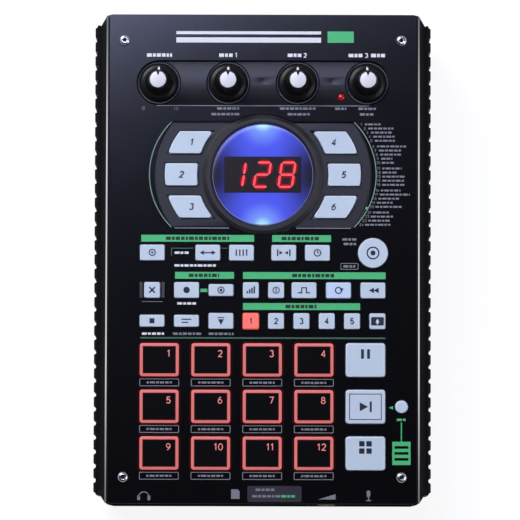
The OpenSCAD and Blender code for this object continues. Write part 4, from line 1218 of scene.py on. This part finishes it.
def arc_strip(side):
    """A thin arc beside a wing."""
    centre_x, radius, half_height, half_width = 20.7, 39.0, 27.7, 0.25
    limit = math.degrees(math.asin(half_height / radius))
    outer, inner = (arc(centre_x, PRINT_MIDDLE, r, r, -limit, limit, 40)
                    for r in (radius + half_width, radius - half_width))
    return [(side * x, y) for x, y in outer + inner[::-1]]


def print_outlines():
    """Outlines of the arcs, the badge and the icons."""
    headband = arc(-62, -124.6, 3.0, 3.0, 0, 180, 15) + arc(-62, -124.6, 2.5, 2.5, 180, 0, 15)
    ear_cups = [moved(rounded(1.5, 2.6, 0.5), x, -124.9) for x in (-64.7, -59.3)]
    level_wedge = [(29.5, -125.6), (38.5, -125.6), (38.5, -122.8)]
    microphone = moved(rounded(1.9, 3.6, 0.9), 55.8, -122.6)
    card = [(-16.2, -125.4), (-11.8, -125.4), (-11.8, -121.4), (-12.8, -120.4), (-16.2, -120.4)]
    dot = moved(circle(0.8, 20), 54.8, 27.3)
    pointer = [(68.6, -76.6), (68.6, -78.4), (66.3, -77.5)]
    left, right, middle, post, post_half = 68.2, 77.8, -101.4, 1.2, 0.7
    rungs = [bar(left, middle + base, right, middle + top)
             for base, top in ((3.8, 6.1), (0.7, 2.4), (-2.4, -0.7), (-6.1, -3.8))]
    posts = [bar(x, middle + y - post_half, x + post, middle + y + post_half)
             for x in (left, right - post) for y in (3.1, 0, -3.1)]
    return {"leaf": [arc_strip(-1), arc_strip(1)],
            "badge": [moved(rounded(28.4, 8.4, 1.0), 6.5, -122.8)],
            "grey": [headband, *ear_cups, level_wedge, microphone, card],
            "green": [dot, pointer, *rungs, *posts]}


def dashes(shape, start, end, y, height, low, high, finish, seed):
    """A row of short dashes of uneven length."""
    lengths, gap, shortest = (1.9, 1.2, 2.6, 1.5, 2.2), 0.55, 0.5
    x, i = start, seed
    while end - x > shortest:
        stop = min(x + lengths[i % 5], end)
        shape.slab(bar(x, y - height / 2, stop, y + height / 2), low, high, finish)
        x, i = stop + gap, i + 1


def make_prints():
    finishes = {"green": GREEN, "muted": MUTED, "leaf": LEAF, "white": WHITE, "grey": GREY,
                "dim": DIM, "badge": BADGE, "ink": INK}
    number_of = {colour: i for i, colour in enumerate(finishes)}
    white, grey = number_of["white"], number_of["grey"]
    low, high, over = -PRINT_IN, PRINT, 0.02
    tall, small, badge_top = 1.8, 1.2, -119
    knob_digit, scale_digit, scale_y = 2.6, 2.0, 79.9
    list_digit, list_dash, list_indent = 1.5, 0.95, 1.9
    marks = Shape()
    for colour, bars in PRINT_BARS.items():
        for corners in bars:
            marks.slab(bar(*corners), low, high, number_of[colour])
    for colour, outlines in print_outlines().items():
        for outline in outlines:
            marks.slab(outline, low, high, number_of[colour])
    box = [moved(edge, 45.7, -3.3) for edge in thin_frame(9.4, 3.4, 0.4, 0.35)]
    marks.band(*box, low, high, grey)
    for x0, x1 in KNOB_DASHES:
        dashes(marks, x0, x1, KNOB_LABEL_Y, tall, low, high, white, 2)
    for text, x in (("1", -14.2), ("2", 22.2), ("3", 54.6)):
        marks.number(text, knob_digit, (x, KNOB_LABEL_Y), low, high, white, weight=0.2)
    for text, x in (("0", -63.0), ("10", -45.8)):
        marks.number(text, scale_digit, (x, scale_y), low, high, grey)
    for colour, rows in LABEL_DASHES.items():
        height = tall if colour == "ink" else small
        for x0, x1, y in rows:
            lift = over if colour == "ink" or y < badge_top else 0
            dashes(marks, x0, x1, y, height, low + lift, high + lift, number_of[colour], 2)
    y, line_step, group_step = 71.64, 2.157, 3.0
    for line, (x, length) in enumerate(zip(LIST_STARTS, LIST_LENGTHS), 1):
        marks.number(str(line), list_digit, (x, y), low, high, grey)
        end = x + 2.2 + length
        dashes(marks, x + list_indent, end, y, list_dash, low, high, grey, line)
        y -= line_step if line % 5 else group_step
    marks.shift(0, DISPLAY_Y - PRINT_MIDDLE)
    piece("panel_prints", marks, list(finishes.values()), "case")
    label, label_drop = Shape(), 11.9
    dashes(label, -6.6, 6.6, 0, 1.0, low, high, 0, 1)
    label.band(*thin_frame(20.8, 4.0, 0.5, 0.37), low, high)
    places = [(x, y - label_drop, 0) for x, y in map(middle_of, PADS)]
    repeated("pad_label_boxes", label, places, DIM, PANEL)


# Light, floor and camera

def make_world():
    """A pale horizon, brighter behind than in front, under a dark ceiling."""
    world = bpy.data.worlds.new("studio")
    bpy.context.scene.world = world
    world.use_nodes = True
    tree = world.node_tree
    place = add_node(tree, "ShaderNodeTexCoord")["Generated"]
    axes = add_node(tree, "ShaderNodeSeparateXYZ", {"Vector": place})
    ceiling = fade(tree, axes["Z"], 0.1, 0.45)
    horizon = fade(tree, axes["Y"], -0.7, 0.6, 0.3, 1.1)
    colour = mix(tree, ceiling, horizon, (0.03, 0.03, 0.036, 1))
    set_inputs(tree, tree.nodes["Background"], {"Color": colour})


def make_floor():
    """A pale floor that shows white and keeps the object's shadow."""
    half, grey, lift = 4, 0.19, 0.88
    material, tree, shader = new_material("pale_floor")
    path = add_node(tree, "ShaderNodeLightPath")
    seen = maths(tree, "MAXIMUM", path["Is Camera Ray"], path["Is Glossy Ray"])
    through = maths(tree, "MAXIMUM", seen, path["Is Transmission Ray"])
    glow = maths(tree, "MULTIPLY", through, lift)
    set_inputs(tree, shader, {
        "Base Color": (grey, grey, grey, 1), "Roughness": 0.9, "Specular IOR Level": 0.1,
        "Emission Color": (1, 1, 1, 1), "Emission Strength": glow})
    corners = lifted(bar(-half, -half, half, half), 0)
    floor = add_object("floor", new_mesh("floor", corners, [(0, 1, 2, 3)], [material]))


def soft_light(name, width, height, radiance, colour):
    lamp = bpy.data.lights.new(name, "AREA")
    lamp.shape = "RECTANGLE"
    lamp.size, lamp.size_y = width, height
    lamp.energy = radiance * math.pi * width * height
    lamp.color = colour
    return add_object(name, lamp)


def make_light():
    target, size = Vector((0, 0, 0.05)), 0.8
    for name, place, radiance, colour in (
            ("key_light", (-0.75, 0.85, 0.95), 7.4, (1, 0.99, 0.98)),
            ("fill_light", (1.0, -0.35, 0.75), 2.2, (1, 1, 1))):
        lamp = soft_light(name, size, size, radiance, colour)
        lamp.location = place
        lamp.rotation_euler = (target - Vector(place)).to_track_quat("-Z", "Y").to_euler()
    # The panel mirrors the near edge of the sky light along its rear edge, mostly on the left
    width, depth, radiance = 1.0, 0.5, 7.0
    sky = soft_light("sky_light", width, depth, radiance, (0.58, 0.63, 1.0))
    edge, turn, height = Vector((-0.141, 0.288, 0)), math.radians(24), 1.4
    along = Vector((math.cos(turn), math.sin(turn), 0))
    inward = Vector((-math.sin(turn), math.cos(turn), 0))
    spot = edge + inward * (depth / 2) + along * 0.1 + Vector((0, 0, height))
    axes = PANEL_TURN @ Matrix((along, inward, (0, 0, 1))).transposed()
    sky.matrix_world = Matrix.Translation(PANEL @ (spot / MM)) @ axes.to_4x4()


def make_camera():
    """Looks down on the panel, from a little in front of its middle."""
    lean, roll, distance, aim = math.radians(2.9), math.radians(0.14), 1.7, (-1.37, -0.9, 0)
    back = PANEL_TURN @ Vector((0, -math.sin(lean), math.cos(lean)))
    up = PANEL_TURN @ Vector((-roll, math.cos(lean), math.sin(lean))).normalized()
    camera = bpy.data.cameras.new("camera")
    camera.lens, camera.sensor_width = 223.8, 36.0
    made = add_object("camera", camera)
    axes = Matrix((up.cross(back), up, back)).transposed()
    made.matrix_world = Matrix.Translation(PANEL @ Vector(aim) + back * distance) @ axes.to_4x4()
    bpy.context.scene.camera = made


make_panel()
make_case()
make_grips()
make_bezel()
make_display()
make_keys()
make_pads()
make_knobs()
make_level_knob()
make_lamp()
make_screws()
make_feet()
make_sockets()
make_power_button()
make_board()
make_prints()
make_world()
make_floor()
make_light()
make_camera()
bpy.context.scene.view_settings.view_transform = "Standard"
